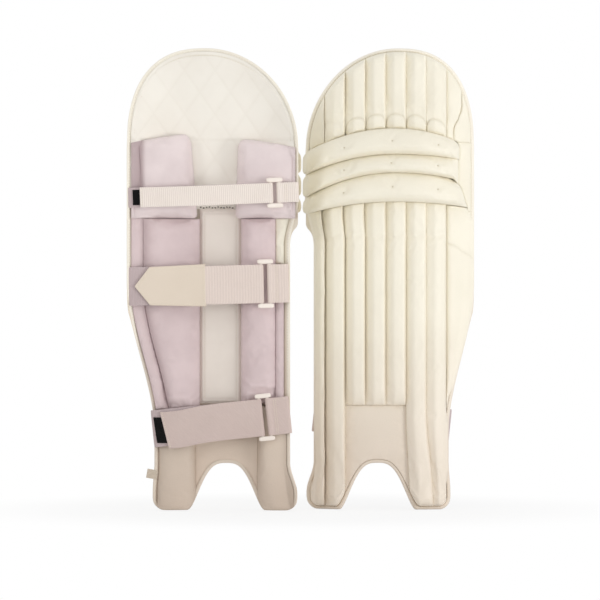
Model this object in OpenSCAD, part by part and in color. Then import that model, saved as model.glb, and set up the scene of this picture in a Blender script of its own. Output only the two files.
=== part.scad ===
// Pair of batting leg guards standing on their feet, one seen from its straps and one from its ribs.
// One pad is drawn with its ribbed face to -Y and its straps to +Y, and is then placed twice.

/* [Pair] */
// Distance between the middle lines of the two pads
pair_pitch = 264; // [263.5:0.5:330]
// How far the side tab of the strap-side-out pad stands out of its edge
left_tab_out = 13; // [0:1:20]
// How far the side tab of the rib-side-out pad stands out of its edge
right_tab_out = 0; // [0:1:20]

/* [Outline] */
// Height of a pad
pad_height = 700; // [690:1:730]
// Reach of the loop-side edge at the knee, from the middle line
inner_reach = 126; // [124:0.5:128]
// Reach of the loop-side edge along the shin
shin_reach = 113.5; // [112:0.5:116]
// Reach of the wing edge at the knee
wing_reach = 131.5; // [130:0.5:134]
// Reach of the wing-side edge at the ankle
ankle_reach = 91; // [90:0.5:94]
// How far the side edges sweep back
side_sweep = 46; // [38:1:47]
// Height of the domed top above its spring line
dome_rise = 155; // [140:1:165]
// Sideways place of the top of the dome
dome_peak = 14; // [0:1:25]

/* [Foot] */
// Height of the arch over the boot
notch_height = 71; // [50:1:80]
// Half width of the arch at the floor
notch_half = 59; // [56:1:62]
// Sideways place of the arch
notch_x = -17; // [-22:1:-14]
// Rounding of the outer corners of the feet
foot_corner = 18; // [10:1:22]
// Height over which the foot flares
flare_height = 72; // [60:1:85]
// Outward flare of the loop-side foot
foot_flare = 11; // [4:1:14]
// Forward flare of both feet
toe_flare = 8; // [2:1:10]

/* [Front panels] */
// Spacing of the sewn channels
rib_pitch = 30.8; // [30:0.1:31.5]
// Sideways place of the first channel seam
first_seam = -97; // [-98:0.5:-95]
// How far a stuffed rib stands out
rib_rise = 17; // [15:0.5:22]
// Diameter of the cane rods
cane_d = 6; // [4:0.5:6]
// Height of the top of the flat instep panel
instep_top = 158; // [140:1:180]
// Thickness of the instep panel
instep_t = 5; // [3:0.5:8]
// Thickness of the smooth side wing
wing_t = 9; // [6:0.5:14]
// Width of the edge binding
binding_w = 4; // [3:0.5:6]
// Thickness of the edge binding
binding_t = 4; // [2:0.5:6]
// Thickness of the foam sheet between front and back
core_t = 6; // [4:0.5:7]

/* [Knee rolls] */
// Height of the upper line of the top roll at its crown
roll_top = 578; // [572:1:590]
// Height of the top roll
roll_upper = 39; // [32:1:42]
// Height of the middle roll
roll_middle = 28; // [26:1:34]
// Height of the bottom roll
roll_lower = 44; // [40:1:50]
// How far a knee roll stands out
roll_rise = 34; // [26:1:42]
// Diameter of a tie stitch on a roll
tie_d = 4; // [3:0.5:8]

/* [Back padding] */
// Rise of the knee cushions
knee_crown = 32; // [24:1:36]
// Rise of the shin bolsters
shin_crown = 26; // [18:1:30]
// Rise of the narrow side rolls
side_crown = 13; // [8:1:15]
// Rise of the foot rolls
foot_crown = 22; // [14:1:26]
// Thickness of the quilted lining
lining_t = 3; // [2:0.5:3]
// Height of the lower hem of the quilted lining
hem_z = 456; // [450:1:462]
// Height of the lower edge of the knee cushions
cushion_low = 441; // [430:1:446]
// Height of the upper edge of the loop-side knee cushion
cushion_high = 564; // [556:1:572]

/* [Straps] */
// Width of the knee webbing
knee_strap_w = 30; // [25:1:34]
// Width of the calf webbing
calf_strap_w = 58; // [50:1:62]
// Width of the ankle webbing
ankle_strap_w = 56; // [48:1:60]
// Thickness of the webbing
web_t = 1.5; // [1.2:0.1:2]
// Height of the knee buckle
knee_buckle_z = 479.6; // [474:0.2:484]
// Height of the calf buckle
calf_buckle_z = 342.6; // [330:0.2:355]
// Height of the ankle buckle
ankle_buckle_z = 141; // [136:0.2:150]
// Diameter of the buckle bars
bar_d = 4.4; // [3.6:0.1:5]
// Spacing of the two bars of a buckle
bar_pitch = 13; // [12.5:0.1:16]
// Thickness of the hook fastener under a strap end
hook_t = 1.5; // [1:0.1:2]

/* [Hidden] */
$fn = 48;
PIECES = ["foam_core", "shin_ribs", "instep_panel", "canes", "knee_roll_upper", "knee_roll_middle",
    "knee_roll_lower", "roll_ties", "top_hat", "side_wing", "knee_gusset", "edge_binding", "quilted_lining",
    "knee_cushions", "shin_bolsters", "side_rolls", "shin_panel", "foot_rolls", "side_tab", "strap_runs",
    "strap_anchors", "knee_buckle", "knee_strap", "knee_hook", "calf_buckle", "calf_strap", "calf_patch",
    "ankle_buckle", "ankle_strap", "ankle_hook"];

cream = [0.95, 0.92, 0.85];
beige = [0.90, 0.86, 0.78];
lilac = [0.74, 0.71, 0.77];
white = [0.95, 0.95, 0.94];
black = [0.10, 0.10, 0.11];
tan = [0.78, 0.68, 0.50];

// Room left between layers, and between neighbouring stuffed pieces
gap = 0.5;
seam = 0.6;
edge_t = 2;
sweep_half = 128;
spring_z = pad_height - dome_rise;
inset = binding_w + 2 * seam;
groove_rise = cane_d + 6.5;
back_0 = core_t + gap;
back_1 = back_0 + lining_t + gap;

function mix(a, b, t) = a + (b - a) * t;
function clamp(t) = min(1, max(0, t));
function ease(t) = let (c = clamp(t)) c * c * (3 - 2 * c);
function arch(s, n) = pow(max(0, 1 - pow(abs(2 * s - 1), n)), 1 / n);
function rounded(s, e) = sqrt(max(0, 1 - pow(1 - clamp(min(s, 1 - s) / e), 2)));

// The sheet that every layer follows: flat down the middle, swept back at the sides, flared at the feet
function sheet_y(x, z) = side_sweep * pow(abs(x) / sweep_half, 3)
    - toe_flare * pow(clamp(1 - z / flare_height), 2);

// Outline, drawn in by k
function inner_edge(z, k = 0) = k - shin_reach
    - (inner_reach - shin_reach) * ease((z - spring_z + 145) / 70)
    - foot_flare * ease((flare_height - z) / (flare_height - 25));
function wing_edge(z, k = 0) = ankle_reach - k
    + (wing_reach - ankle_reach) * ease((z - 115) / 230)
    + foot_flare / 4 * ease((flare_height - z) / (flare_height - 25));
function dome_z(x, k = 0) = let (
        power = x < dome_peak ? 2 : 2.5,
        reach = (x < dome_peak ? dome_peak + inner_reach : wing_reach - dome_peak) - k
    ) spring_z + (dome_rise - k) * pow(max(0, 1 - pow(abs(x - dome_peak) / reach, power)), 1 / power);
function corner_z(d, k) = let (r = foot_corner - k)
    d >= r ? 0 : r - sqrt(max(0, r * r - pow(r - max(0, d), 2)));
function foot_z(x, k = 0) = k
    + notch_height * pow(max(0, 1 - pow(abs(x - notch_x) / (notch_half + k), 3)), 2)
    + corner_z(x - inner_edge(0, k), k) + corner_z(wing_edge(0, k) - x, k);

// Lines between the knee rolls, arched up in the middle
roll_line = [roll_top, roll_top - roll_upper, roll_top - roll_upper - roll_middle,
    roll_top - roll_upper - roll_middle - roll_lower];
roll_drop = [[32, 20], [28, 7], [34, 11], [17, 6]];
roll_end = [108, 106.5, 114];
roll_mid = 8;
function knee_line(i, x) = roll_line[i] - roll_drop[i][x < roll_mid ? 0 : 1]
    * pow((x - roll_mid) / (x < roll_mid ? 129 : 100), 2);
// Channel seams; the two beside the arch lean out to the wing-side foot
seam_lean = [0, 0, 0, 0, 5, 10, 0];
function rib_seam(i, z = 300) = first_seam + i * rib_pitch + seam_lean[i] * ease((150 - z) / 130);
// The ends of a knee roll: rounded on the loop side, and the bottom one slanted on the wing side
roll_round = 9;
roll_slant = 6.5;
function roll_share(i, x, z) = clamp((z - knee_line(i + 1, x)) / (knee_line(i, x) - knee_line(i + 1, x)));
function roll_pinch(x) = let (t = clamp((roll_left + roll_round - x) / roll_round))
    roll_round * (1 - sqrt(1 - t * t));
function roll_stop(i, z) = roll_end[i] + (i == 2 ? roll_slant * (1 - 2 * roll_share(2, roll_end[2], z)) : 0);
gusset_low = roll_line[3] - 13;
gusset_high = roll_line[0] - 20;

// One closed patch between four edges: a front sheet, a back sheet and the walls between
function spot(left, right, low, high, zr, u, v) = let (
        z0 = mix(zr[0], zr[1], v),
        x1 = mix(left(z0), right(z0), u),
        z1 = mix(low(x1), high(x1), v),
        x2 = mix(left(z1), right(z1), u),
        z2 = mix(low(x2), high(x2), v),
        x3 = mix(left(z2), right(z2), u)
    ) [x3, mix(low(x3), high(x3), v)];
function patch(left, right, low, high, zr, us, vs, front, back) = let (
        nu = len(us),
        nv = len(vs),
        n = nu * nv,
        grid = [for (v = vs) for (u = us)
            let (p = spot(left, right, low, high, zr, u, v)) [p[0], p[1], u, v]],
        points = concat([for (g = grid) [g[0], front(g[0], g[1], g[2], g[3]), g[1]]],
            [for (g = grid) [g[0], back(g[0], g[1], g[2], g[3]), g[1]]])
    ) [points, concat(
        [for (j = [0 : nv - 2]) for (i = [0 : nu - 2]) let (a = j * nu + i) each
            [[a, a + nu, a + nu + 1], [a, a + nu + 1, a + 1],
            [n + a, n + a + nu + 1, n + a + nu], [n + a, n + a + 1, n + a + nu + 1]]],
        [for (i = [0 : nu - 2]) let (c = (nv - 1) * nu + i) each
            [[i, i + 1, n + i + 1], [i, n + i + 1, n + i],
            [c + 1, c, n + c], [c + 1, n + c, n + c + 1]]],
        [for (j = [0 : nv - 2]) let (a = j * nu, b = a + nu - 1) each
            [[n + a, n + a + nu, a + nu], [n + a, a + nu, a],
            [b, b + nu, n + b + nu], [b, n + b + nu, n + b]]])];

// Several closed patches as one group of separate solids
module stuffed(patches) {
    counts = [for (p = patches) len(p[0])];
    starts = [for (i = 0, s = 0; i < len(counts); s = s + counts[i], i = i + 1) s];
    polyhedron(points = [for (p = patches) each p[0]],
        faces = [for (i = [0 : len(patches) - 1]) for (f = patches[i][1]) [for (k = f) k + starts[i]]]);
}

function steps(n) = [for (i = [0 : n]) i / n];
function edge_steps(n) = [for (i = [0 : n]) mix(i / n, 0.5 - 0.5 * cos(180 * i / n), 0.5)];

// Foam sheet
module foam_core() {
    color(beige)
    stuffed([patch(function(z) inner_edge(z), function(z) wing_edge(z),
        function(x) foot_z(x), function(x) dome_z(x), [0, pad_height],
        edge_steps(26), concat([0, 0.025, 0.05, 0.075, 0.1], [for (i = [2 : 14]) i / 15], [1]),
        function(x, z, u, v) sheet_y(x, z), function(x, z, u, v) sheet_y(x, z) + core_t)]);
}

// Stuffed ribs: half-round channels with a groove behind for the cane
rib_us = [0, 0.12, 0.3, 0.5, 0.7, 0.88, 1];
function rib(left, right, low, high, zr, vs, tip) = patch(left, right, low, high, zr, rib_us, vs,
    function(x, z, u, v) sheet_y(x, z) - gap - edge_t - rib_rise * arch(u, 2.2) * rounded(v, tip),
    function(x, z, u, v) sheet_y(x, z) - gap - (u == 0.5 ? groove_rise * rounded(v, tip) : 0));
short_vs = [0, 0.04, 0.96, 1];
long_vs = [0, 0.03, 0.09, 0.17, 0.3, 0.98, 1];
edge_vs = [0, 0.03, 0.08, 0.13, 0.19, 0.86, 0.92, 0.98, 1];
last_vs = [0, 0.03, 0.09, 0.17, 0.3, 0.42, 0.98, 1];
function shin_left(i, z) = i == 0 ? inner_edge(z, inset) : rib_seam(i - 1, z) + seam / 2;
function shin_right(i, z) = i == 6 ? min(rib_seam(6) - seam / 2, wing_edge(z, inset))
    : rib_seam(i, z) - seam / 2;
function over_instep(i) = i > 1 && i < 5;
function shin_low(i, x) = over_instep(i) ? instep_top + seam : foot_z(x, inset);
shin_vs = [edge_vs, long_vs, short_vs, short_vs, short_vs, long_vs, last_vs];
module shin_ribs() {
    color(cream)
    stuffed([for (i = [0 : 6]) rib(function(z) shin_left(i, z), function(z) shin_right(i, z),
        function(x) shin_low(i, x), function(x) knee_line(3, x) - seam,
        [over_instep(i) ? instep_top : 0, roll_line[3]], shin_vs[i], over_instep(i) ? 0.05 : 0.03)]);
}

// Instep panel over the arch
module instep_panel() {
    color(cream)
    stuffed([patch(function(z) rib_seam(1) + seam / 2, function(z) rib_seam(4, z) - seam / 2,
        function(x) foot_z(x, inset), function(x) instep_top - seam, [0, instep_top],
        steps(10), [0, 0.06, 0.3, 0.65, 0.94, 1],
        function(x, z, u, v) sheet_y(x, z) - gap - edge_t
            - (instep_t - edge_t) * arch(u, 4) * rounded(v, 0.06),
        function(x, z, u, v) sheet_y(x, z) - gap)]);
}

// Cane rods in the grooves behind the ribs
module cane(x, z0, z1) {
    translate([x, sheet_y(x, z0) - cane_d / 2 - 0.8, z0])
    cylinder(d = cane_d, h = z1 - z0);
}
module canes() {
    color(tan)
    for (i = [1 : 6]) {
        x = rib_seam(i) - rib_pitch / 2;
        tall = dome_z(x, inset) - knee_line(0, x);
        low = over_instep(i) ? instep_top + 22 : i > 4 ? instep_top + 30 : flare_height + 8;
        cane(x, low, knee_line(3, x) - 22);
        cane(x, knee_line(0, x) + 0.15 * tall, dome_z(x, inset) - 0.2 * tall);
    }
}

// Knee rolls: three half-round rolls arched over the knee, drawn in at their ties
tie_x = [-68, 4, 74];
tie_pull = 6;
roll_left = -inner_reach - 5;
function roll_xs(i) = [roll_left, roll_left + 7, roll_left + 13.6, roll_left + 18, -98, -84,
    tie_x[0], -50, -28, tie_x[1], 36, 56, tie_x[2], 88, mix(88, roll_end[i], 0.6), roll_end[i]];
function over_binding(x, z) = sheet_y(x, z) - gap - (x < roll_left + 15 ? binding_t + gap : 0);
function tie_dip(i, x, v) = tie_pull * max([for (t = tie_x)
    exp(-pow((x - t) / 8, 2) - pow((v - 0.5) * (roll_line[i] - roll_line[i + 1]) / 10, 2))]);
function roll(i) = patch(function(z) roll_left, function(z) roll_stop(i, z),
    function(x) knee_line(i + 1, x) + seam / 2 + roll_pinch(x),
    function(x) knee_line(i, x) - seam / 2 - roll_pinch(x),
    [roll_line[i + 1], roll_line[i]], [for (x = roll_xs(i)) (x - roll_left) / (roll_end[i] - roll_left)],
    [0, 0.1, 0.3, 0.5, 0.7, 0.9, 1],
    function(x, z, u, v) over_binding(x, z) - edge_t + tie_dip(i, x, v)
        - roll_rise * arch(v, 2.2) * mix(0.35, 1, rounded(u, 0.09)),
    function(x, z, u, v) over_binding(x, z));
module knee_roll_upper() {
    color(cream)
    stuffed([roll(0)]);
}
module knee_roll_middle() {
    color(cream)
    stuffed([roll(1)]);
}
module knee_roll_lower() {
    color(cream)
    stuffed([roll(2)]);
}

// Tie stitches through the rolls
module roll_ties() {
    color(beige)
    for (i = [0 : 2])
        for (x = tie_x) {
            z = (knee_line(i, x) + knee_line(i + 1, x)) / 2;
            slope = 3 * side_sweep * x * abs(x) / pow(sweep_half, 3);
            translate([x, sheet_y(x, z) - gap - edge_t - roll_rise + tie_pull - 1.3, z])
            rotate([90, 0, atan(slope)])
            cylinder(d = tie_d, h = 1.6);
        }
}

// Top hat: ribs that run up into the dome, with a plain flap at each side
function flap_seam(z) = mix(rib_seam(6) + 11, rib_seam(6) + 24, ease((z - roll_line[0] + 3) / 42));
function hat_left(i, z) = i == 0 ? -inner_reach + inset + 4.5
    : (i == 8 ? flap_seam(z) : rib_seam(i - 1)) + seam / 2;
function hat_right(i, z) = i == 8 ? wing_reach - inset - 3
    : (i == 7 ? flap_seam(z) : rib_seam(i)) - seam / 2;
function hat_low(i, x) = (i == 8 ? max(gusset_high, knee_line(0, x)) : knee_line(0, x)) + seam;
hat_vs = [0, 0.1, 0.9, 1];
function hat_flap(i) = patch(function(z) hat_left(i, z), function(z) hat_right(i, z),
    function(x) hat_low(i, x), function(x) dome_z(x, inset), [roll_top, pad_height],
    edge_steps(2), steps(i == 0 ? 3 : 5),
    function(x, z, u, v) sheet_y(x, z) - gap - edge_t - 0.5 * rib_rise * arch(u, 3) * arch(v, 4),
    function(x, z, u, v) sheet_y(x, z) - gap);
module top_hat() {
    color(cream)
    stuffed([for (i = [0 : 8]) i == 0 || i > 6 ? hat_flap(i)
        : rib(function(z) hat_left(i, z), function(z) hat_right(i, z), function(x) hat_low(i, x),
            function(x) dome_z(x, inset), [roll_top, pad_height], hat_vs, 0.12)]);
}

// Smooth wing along the outer side of the shin
wing_low = 178;
module side_wing() {
    color(cream)
    stuffed([patch(function(z) rib_seam(6) + seam / 2, function(z) wing_edge(z, inset),
        function(x) wing_low, function(x) gusset_low - seam, [wing_low, gusset_low],
        edge_steps(5), [0, 0.03, 0.15, 0.3, 0.45, 0.6, 0.97, 1],
        function(x, z, u, v) sheet_y(x, z) - gap - edge_t
            - (wing_t - edge_t) * arch(u, 3) * rounded(v, 0.03),
        function(x, z, u, v) sheet_y(x, z) - gap)]);
}

// Gusset that closes the ends of the knee rolls
module knee_gusset() {
    color(cream)
    stuffed([patch(function(z) max(roll_end[0] + 1, roll_stop(2, z)) + seam,
        function(z) wing_edge(z, inset + seam),
        function(x) gusset_low, function(x) gusset_high, [gusset_low, gusset_high],
        steps(3), [0, 0.06, 0.16, 0.3, 0.45, 0.6, 0.92, 1],
        function(x, z, u, v) sheet_y(x, z) - gap - edge_t
            - (wing_t - edge_t) * arch(u, 3) * rounded(v, 0.08),
        function(x, z, u, v) sheet_y(x, z) - gap)]);
}

// Edge binding: one loop round the whole outline
function ring_path(k) = concat(
    [for (t = steps(26)) let (z = mix(foot_corner, spring_z, t)) [inner_edge(z, k), z]],
    [for (t = edge_steps(30)) if (t > 0 && t < 1)
        let (x = mix(inner_edge(spring_z, k), wing_edge(spring_z, k), t)) [x, dome_z(x, k)]],
    [for (t = steps(26)) let (z = mix(spring_z, foot_corner, t)) [wing_edge(z, k), z]],
    [for (t = edge_steps(30)) if (t > 0 && t < 1)
        let (x = mix(wing_edge(0, k), inner_edge(0, k), t)) [x, foot_z(x, k)]]);
module edge_binding() {
    outer = ring_path(0.3);
    inner = ring_path(binding_w);
    n = len(outer);
    color(cream)
    polyhedron(
        points = concat([for (p = outer) [p[0], sheet_y(p[0], p[1]) - gap, p[1]]],
            [for (p = outer) [p[0], sheet_y(p[0], p[1]) - gap - binding_t, p[1]]],
            [for (p = inner) [p[0], sheet_y(p[0], p[1]) - gap - binding_t, p[1]]],
            [for (p = inner) [p[0], sheet_y(p[0], p[1]) - gap, p[1]]]),
        faces = [for (s = [0 : 3]) for (i = [0 : n - 1]) let (
                a = s * n + i,
                b = s * n + (i + 1) % n,
                c = ((s + 1) % 4) * n + i,
                d = ((s + 1) % 4) * n + (i + 1) % n
            ) each [[a, b, d], [a, d, c]]]);
}

// Quilted lining behind the top hat and the knee
module quilted_lining() {
    color(white)
    stuffed([patch(function(z) inner_edge(z, 5), function(z) wing_edge(z, 5),
        function(x) hem_z, function(x) dome_z(x, 5), [hem_z, pad_height],
        edge_steps(18), [0, 0.25, 0.5, 0.75, 1],
        function(x, z, u, v) sheet_y(x, z) + back_0,
        function(x, z, u, v) sheet_y(x, z) + back_0 + lining_t)]);
}

// Padded pieces on the back keep under the straps
wing_y = [57, 56, 34];
loop_y = [54, 44, 42];
wing_x = [130, 130, 92];
loop_x = [-125, -112, -112];
function chord_y(i, x) = mix(loop_y[i], wing_y[i], (x - loop_x[i]) / (wing_x[i] - loop_x[i]));
function soft_min(a, b) = -4 * ln(exp(-a / 4) + exp(-b / 4));
function cushion_y(i, x, z, base, crown, form) = let (low = sheet_y(x, z) + base)
    low + edge_t + max(0, soft_min(crown, chord_y(i, x) - 7 - low) - edge_t) * form;

knee_us = [0, 0.08, 0.3, 0.7, 0.92, 1];
module knee_cushions() {
    function piece(left, right, top) = patch(left, right,
        function(x) cushion_low, function(x) top - 0.0011 * pow(x, 2), [cushion_low, top],
        knee_us, knee_us,
        function(x, z, u, v) sheet_y(x, z) + back_1,
        function(x, z, u, v) cushion_y(0, x, z, back_1, knee_crown, arch(u, 3.2) * arch(v, 3.2)));
    color(lilac)
    stuffed([piece(function(z) 4 - inner_reach, function(z) -30.5 - 0.04 * (z - cushion_low), cushion_high),
        piece(function(z) 26.5 + 0.08 * (z - cushion_low), function(z) wing_reach - 6.3, cushion_high + 8)]);
}

bolster_low = instep_top + 3;
bolster_vs = [0, 0.04, 0.22, 0.45, 0.68, 0.96, 1];
module shin_bolsters() {
    function piece(left, right) = patch(left, right,
        function(x) bolster_low, function(x) cushion_low - seam, [bolster_low, cushion_low],
        [0, 0.08, 0.3, 0.7, 0.92, 1], bolster_vs,
        function(x, z, u, v) sheet_y(x, z) + back_0,
        function(x, z, u, v) cushion_y(1, x, z, back_0, shin_crown, arch(u, 2.8) * rounded(v, 0.1)));
    color(lilac)
    stuffed([piece(function(z) -92, function(z) -40),
        piece(function(z) 23, function(z) min(108, wing_edge(z, 24)))]);
}

module side_rolls() {
    function piece(left, right) = patch(left, right,
        function(x) bolster_low, function(x) cushion_low - seam, [bolster_low, cushion_low],
        [0, 0.25, 0.75, 1], bolster_vs,
        function(x, z, u, v) sheet_y(x, z) + back_0,
        function(x, z, u, v) cushion_y(1, x, z, back_0, side_crown, arch(u, 2.2) * rounded(v, 0.06)));
    color(lilac)
    stuffed([piece(function(z) inner_edge(z, 9), function(z) -92 - seam),
        piece(function(z) min(108, wing_edge(z, 24)) + 3 * seam, function(z) min(125.2, wing_edge(z, 5)))]);
}

// Flat lining strip down the middle of the shin
module shin_panel() {
    color(white)
    stuffed([patch(function(z) -40 + seam, function(z) 23 - seam,
        function(x) bolster_low, function(x) hem_z - seam, [bolster_low, hem_z],
        steps(4), [0, 0.5, 1],
        function(x, z, u, v) sheet_y(x, z) + back_0,
        function(x, z, u, v) sheet_y(x, z) + back_0 + lining_t)]);
}

// Rolls behind the two feet
module foot_rolls() {
    function piece(left, right) = patch(left, right,
        function(x) foot_z(x), function(x) instep_top, [0, instep_top],
        [0, 0.08, 0.42, 0.76, 0.93, 1], [0, 0.12, 0.24, 0.36, 0.52, 0.93, 1],
        function(x, z, u, v) sheet_y(x, z) + back_0,
        function(x, z, u, v) cushion_y(2, x, z, back_0, foot_crown,
            arch(u, 2.6) * mix(0.2, 1, rounded(max(v, 0.5), 0.1))));
    color(beige)
    stuffed([piece(function(z) inner_edge(z, 5), function(z) -64),
        piece(function(z) 29, function(z) wing_edge(z, 6.5))]);
}

// Small woven tab sewn to the wing-side foot
tab_z = 53;
module side_tab(out) {
    root_x = wing_edge(tab_z, 5);
    slope = 3 * side_sweep * root_x * root_x / pow(sweep_half, 3);
    color(tan)
    translate([root_x, sheet_y(root_x, tab_z) + back_0 + 0.4, tab_z])
    rotate([0, -6, atan(slope)])
    translate([0, 0, -7])
    cube([5 + out, 1.2, 14]);
}

// Straps: 0 knee, 1 calf, 2 ankle. Each is laid out about the middle of its buckle.
strap_w = [knee_strap_w, calf_strap_w, ankle_strap_w];
buckle_x = [-91, -77, -76];
buckle_z = [knee_buckle_z, calf_buckle_z, ankle_buckle_z];
strap_tilt = [2, 1.2, 6];
strap_end = [203, 92, 153];
foot_span = [[127.4, 130.4], [126.2, 129.4], [87.4, 90.6]];
anchor_span = [[-125.6, -122.6], [-112.8, -106], [-112.8, -109.6]];
bar_r = bar_d / 2;
wrap_in = bar_r + 0.35;
wrap_out = wrap_in + web_t;
rail_d = bar_d + 2.2;
rail_over = 1.2 * bar_d;
function strap_yaw(i) = atan((wing_y[i] - loop_y[i]) / (wing_x[i] - loop_x[i]));
module at_buckle(i) {
    translate([buckle_x[i], chord_y(i, buckle_x[i]), buckle_z[i]])
    rotate([0, strap_tilt[i], strap_yaw(i)])
    children();
}
// A sewn-down end: a wedge from the strap to the back of the foam sheet
module sewn_end(i, span) {
    z = buckle_z[i] - tan(strap_tilt[i]) * ((span[0] + span[1]) / 2 - buckle_x[i]);
    tops = [for (x = span) [x, chord_y(i, x)]];
    feet = [for (x = [span[1], (span[0] + span[1]) / 2, span[0]]) [x, sheet_y(x, z) + back_0 + 0.2]];
    translate([0, 0, z - 0.4 * strap_w[i]])
    linear_extrude(0.8 * strap_w[i])
    polygon(concat(tops, feet));
}

// Lower layer of each strap, from its sewn end on the wing side to its buckle
run_end = [wing_x[0] + 0.5, wing_x[1] - 0.5, wing_x[2] + 4];
module strap_runs() {
    color(white)
    for (i = [0 : 2])
        union() {
            at_buckle(i)
            translate([bar_pitch / 2 + wrap_out + 0.8, wrap_in - hook_t - 0.6 - web_t, -strap_w[i] / 2])
            cube([run_end[i] - buckle_x[i] - bar_pitch / 2 - wrap_out - 0.8, web_t, strap_w[i]]);
            sewn_end(i, foot_span[i]);
        }
}

// Short webbing that holds the buckle's outer bar
module strap_anchors() {
    color(cream)
    for (i = [0 : 2])
        union() {
            at_buckle(i)
            translate([-bar_pitch / 2, 0, -strap_w[i] / 2]) {
                difference() {
                    union() {
                        cylinder(r = wrap_out, h = strap_w[i]);
                        translate([anchor_span[i][0] + 0.5 - buckle_x[i] + bar_pitch / 2, -web_t / 2, 0])
                        cube([buckle_x[i] - bar_pitch / 2 - anchor_span[i][0] - 0.5, web_t, strap_w[i]]);
                    }
                    translate([0, 0, -1])
                    cylinder(r = wrap_in, h = strap_w[i] + 2);
                }
            }
            sewn_end(i, anchor_span[i]);
        }
}

// Moulded buckle: two round bars between two rails
module buckle(i) {
    h = strap_w[i] + 2;
    color(cream)
    at_buckle(i) {
        for (x = [-bar_pitch / 2, bar_pitch / 2])
            translate([x, 0, -h / 2 - 0.5])
            cylinder(d = bar_d, h = h + 1);
        for (z = [-h / 2 - rail_d / 2, h / 2 + rail_d / 2])
            translate([-bar_pitch / 2 - rail_over, -rail_d / 2, z - rail_d / 2])
            cube([bar_pitch + 2 * rail_over, rail_d, rail_d]);
    }
}
module knee_buckle() {
    buckle(0);
}
module calf_buckle() {
    buckle(1);
}
module ankle_buckle() {
    buckle(2);
}

// Upper layer of each strap: it wraps the buckle's inner bar and runs back over the lower layer
module upper_strap(i) {
    color(white)
    at_buckle(i)
    translate([bar_pitch / 2, 0, -strap_w[i] / 2]) {
        difference() {
            cylinder(r = wrap_out, h = strap_w[i]);
            translate([0, 0, -1])
            cylinder(r = wrap_in, h = strap_w[i] + 2);
            translate([0, -wrap_out - 1, -1])
            cube([wrap_out + 1, 2 * wrap_out + 2, strap_w[i] + 2]);
        }
        translate([0, wrap_in, 0])
        cube([strap_end[i] - bar_pitch / 2, web_t, strap_w[i]]);
    }
}
module knee_strap() {
    upper_strap(0);
}
module calf_strap() {
    upper_strap(1);
}
module ankle_strap() {
    upper_strap(2);
}

// Hook fasteners under the strap ends
module hook(i, start, out, w, skew) {
    color(black)
    at_buckle(i)
    translate([0, wrap_in, 0])
    rotate([90, 0, 0])
    linear_extrude(hook_t)
    polygon([[start, -w / 2], [strap_end[i] + out - skew, -w / 2], [strap_end[i] + out + skew, w / 2],
        [start, w / 2]]);
}
module knee_hook() {
    hook(0, 180, 11, 23, 0);
}
module ankle_hook() {
    hook(2, 130, 14, 39, 4);
}
// Pointed end patch of the calf strap with its hook backing
module calf_patch() {
    w = calf_strap_w + 6;
    tip = strap_end[1] + 105;
    color(cream)
    at_buckle(1) {
        translate([0, wrap_in + web_t, 0])
        rotate([90, 0, 0])
        linear_extrude(web_t)
        polygon([[strap_end[1] + 0.4, -w / 2], [tip - 22, -w / 2 + 3], [tip, 0], [tip - 24, w / 2 - 3],
            [strap_end[1] + 0.4, w / 2]]);
        translate([strap_end[1] - 18, wrap_in - hook_t, -calf_strap_w * 0.4])
        cube([100, hook_t, calf_strap_w * 0.8]);
    }
}

module left_pad() {
    translate([-pair_pitch / 2, 0, 0])
    rotate(180)
    children();
}
module right_pad() {
    translate([pair_pitch / 2, 0, 0])
    children();
}

left_pad() foam_core();  // left_foam_core
left_pad() shin_ribs();  // left_shin_ribs
left_pad() instep_panel();  // left_instep_panel
left_pad() canes();  // left_canes
left_pad() knee_roll_upper();  // left_knee_roll_upper
left_pad() knee_roll_middle();  // left_knee_roll_middle
left_pad() knee_roll_lower();  // left_knee_roll_lower
left_pad() roll_ties();  // left_roll_ties
left_pad() top_hat();  // left_top_hat
left_pad() side_wing();  // left_side_wing
left_pad() knee_gusset();  // left_knee_gusset
left_pad() edge_binding();  // left_edge_binding
left_pad() quilted_lining();  // left_quilted_lining
left_pad() knee_cushions();  // left_knee_cushions
left_pad() shin_bolsters();  // left_shin_bolsters
left_pad() side_rolls();  // left_side_rolls
left_pad() shin_panel();  // left_shin_panel
left_pad() foot_rolls();  // left_foot_rolls
left_pad() side_tab(left_tab_out);  // left_side_tab
left_pad() strap_runs();  // left_strap_runs
left_pad() strap_anchors();  // left_strap_anchors
left_pad() knee_buckle();  // left_knee_buckle
left_pad() knee_strap();  // left_knee_strap
left_pad() knee_hook();  // left_knee_hook
left_pad() calf_buckle();  // left_calf_buckle
left_pad() calf_strap();  // left_calf_strap
left_pad() calf_patch();  // left_calf_patch
left_pad() ankle_buckle();  // left_ankle_buckle
left_pad() ankle_strap();  // left_ankle_strap
left_pad() ankle_hook();  // left_ankle_hook
right_pad() foam_core();  // right_foam_core
right_pad() shin_ribs();  // right_shin_ribs
right_pad() instep_panel();  // right_instep_panel
right_pad() canes();  // right_canes
right_pad() knee_roll_upper();  // right_knee_roll_upper
right_pad() knee_roll_middle();  // right_knee_roll_middle
right_pad() knee_roll_lower();  // right_knee_roll_lower
right_pad() roll_ties();  // right_roll_ties
right_pad() top_hat();  // right_top_hat
right_pad() side_wing();  // right_side_wing
right_pad() knee_gusset();  // right_knee_gusset
right_pad() edge_binding();  // right_edge_binding
right_pad() quilted_lining();  // right_quilted_lining
right_pad() knee_cushions();  // right_knee_cushions
right_pad() shin_bolsters();  // right_shin_bolsters
right_pad() side_rolls();  // right_side_rolls
right_pad() shin_panel();  // right_shin_panel
right_pad() foot_rolls();  // right_foot_rolls
right_pad() side_tab(right_tab_out);  // right_side_tab
right_pad() strap_runs();  // right_strap_runs
right_pad() strap_anchors();  // right_strap_anchors
right_pad() knee_buckle();  // right_knee_buckle
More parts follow.
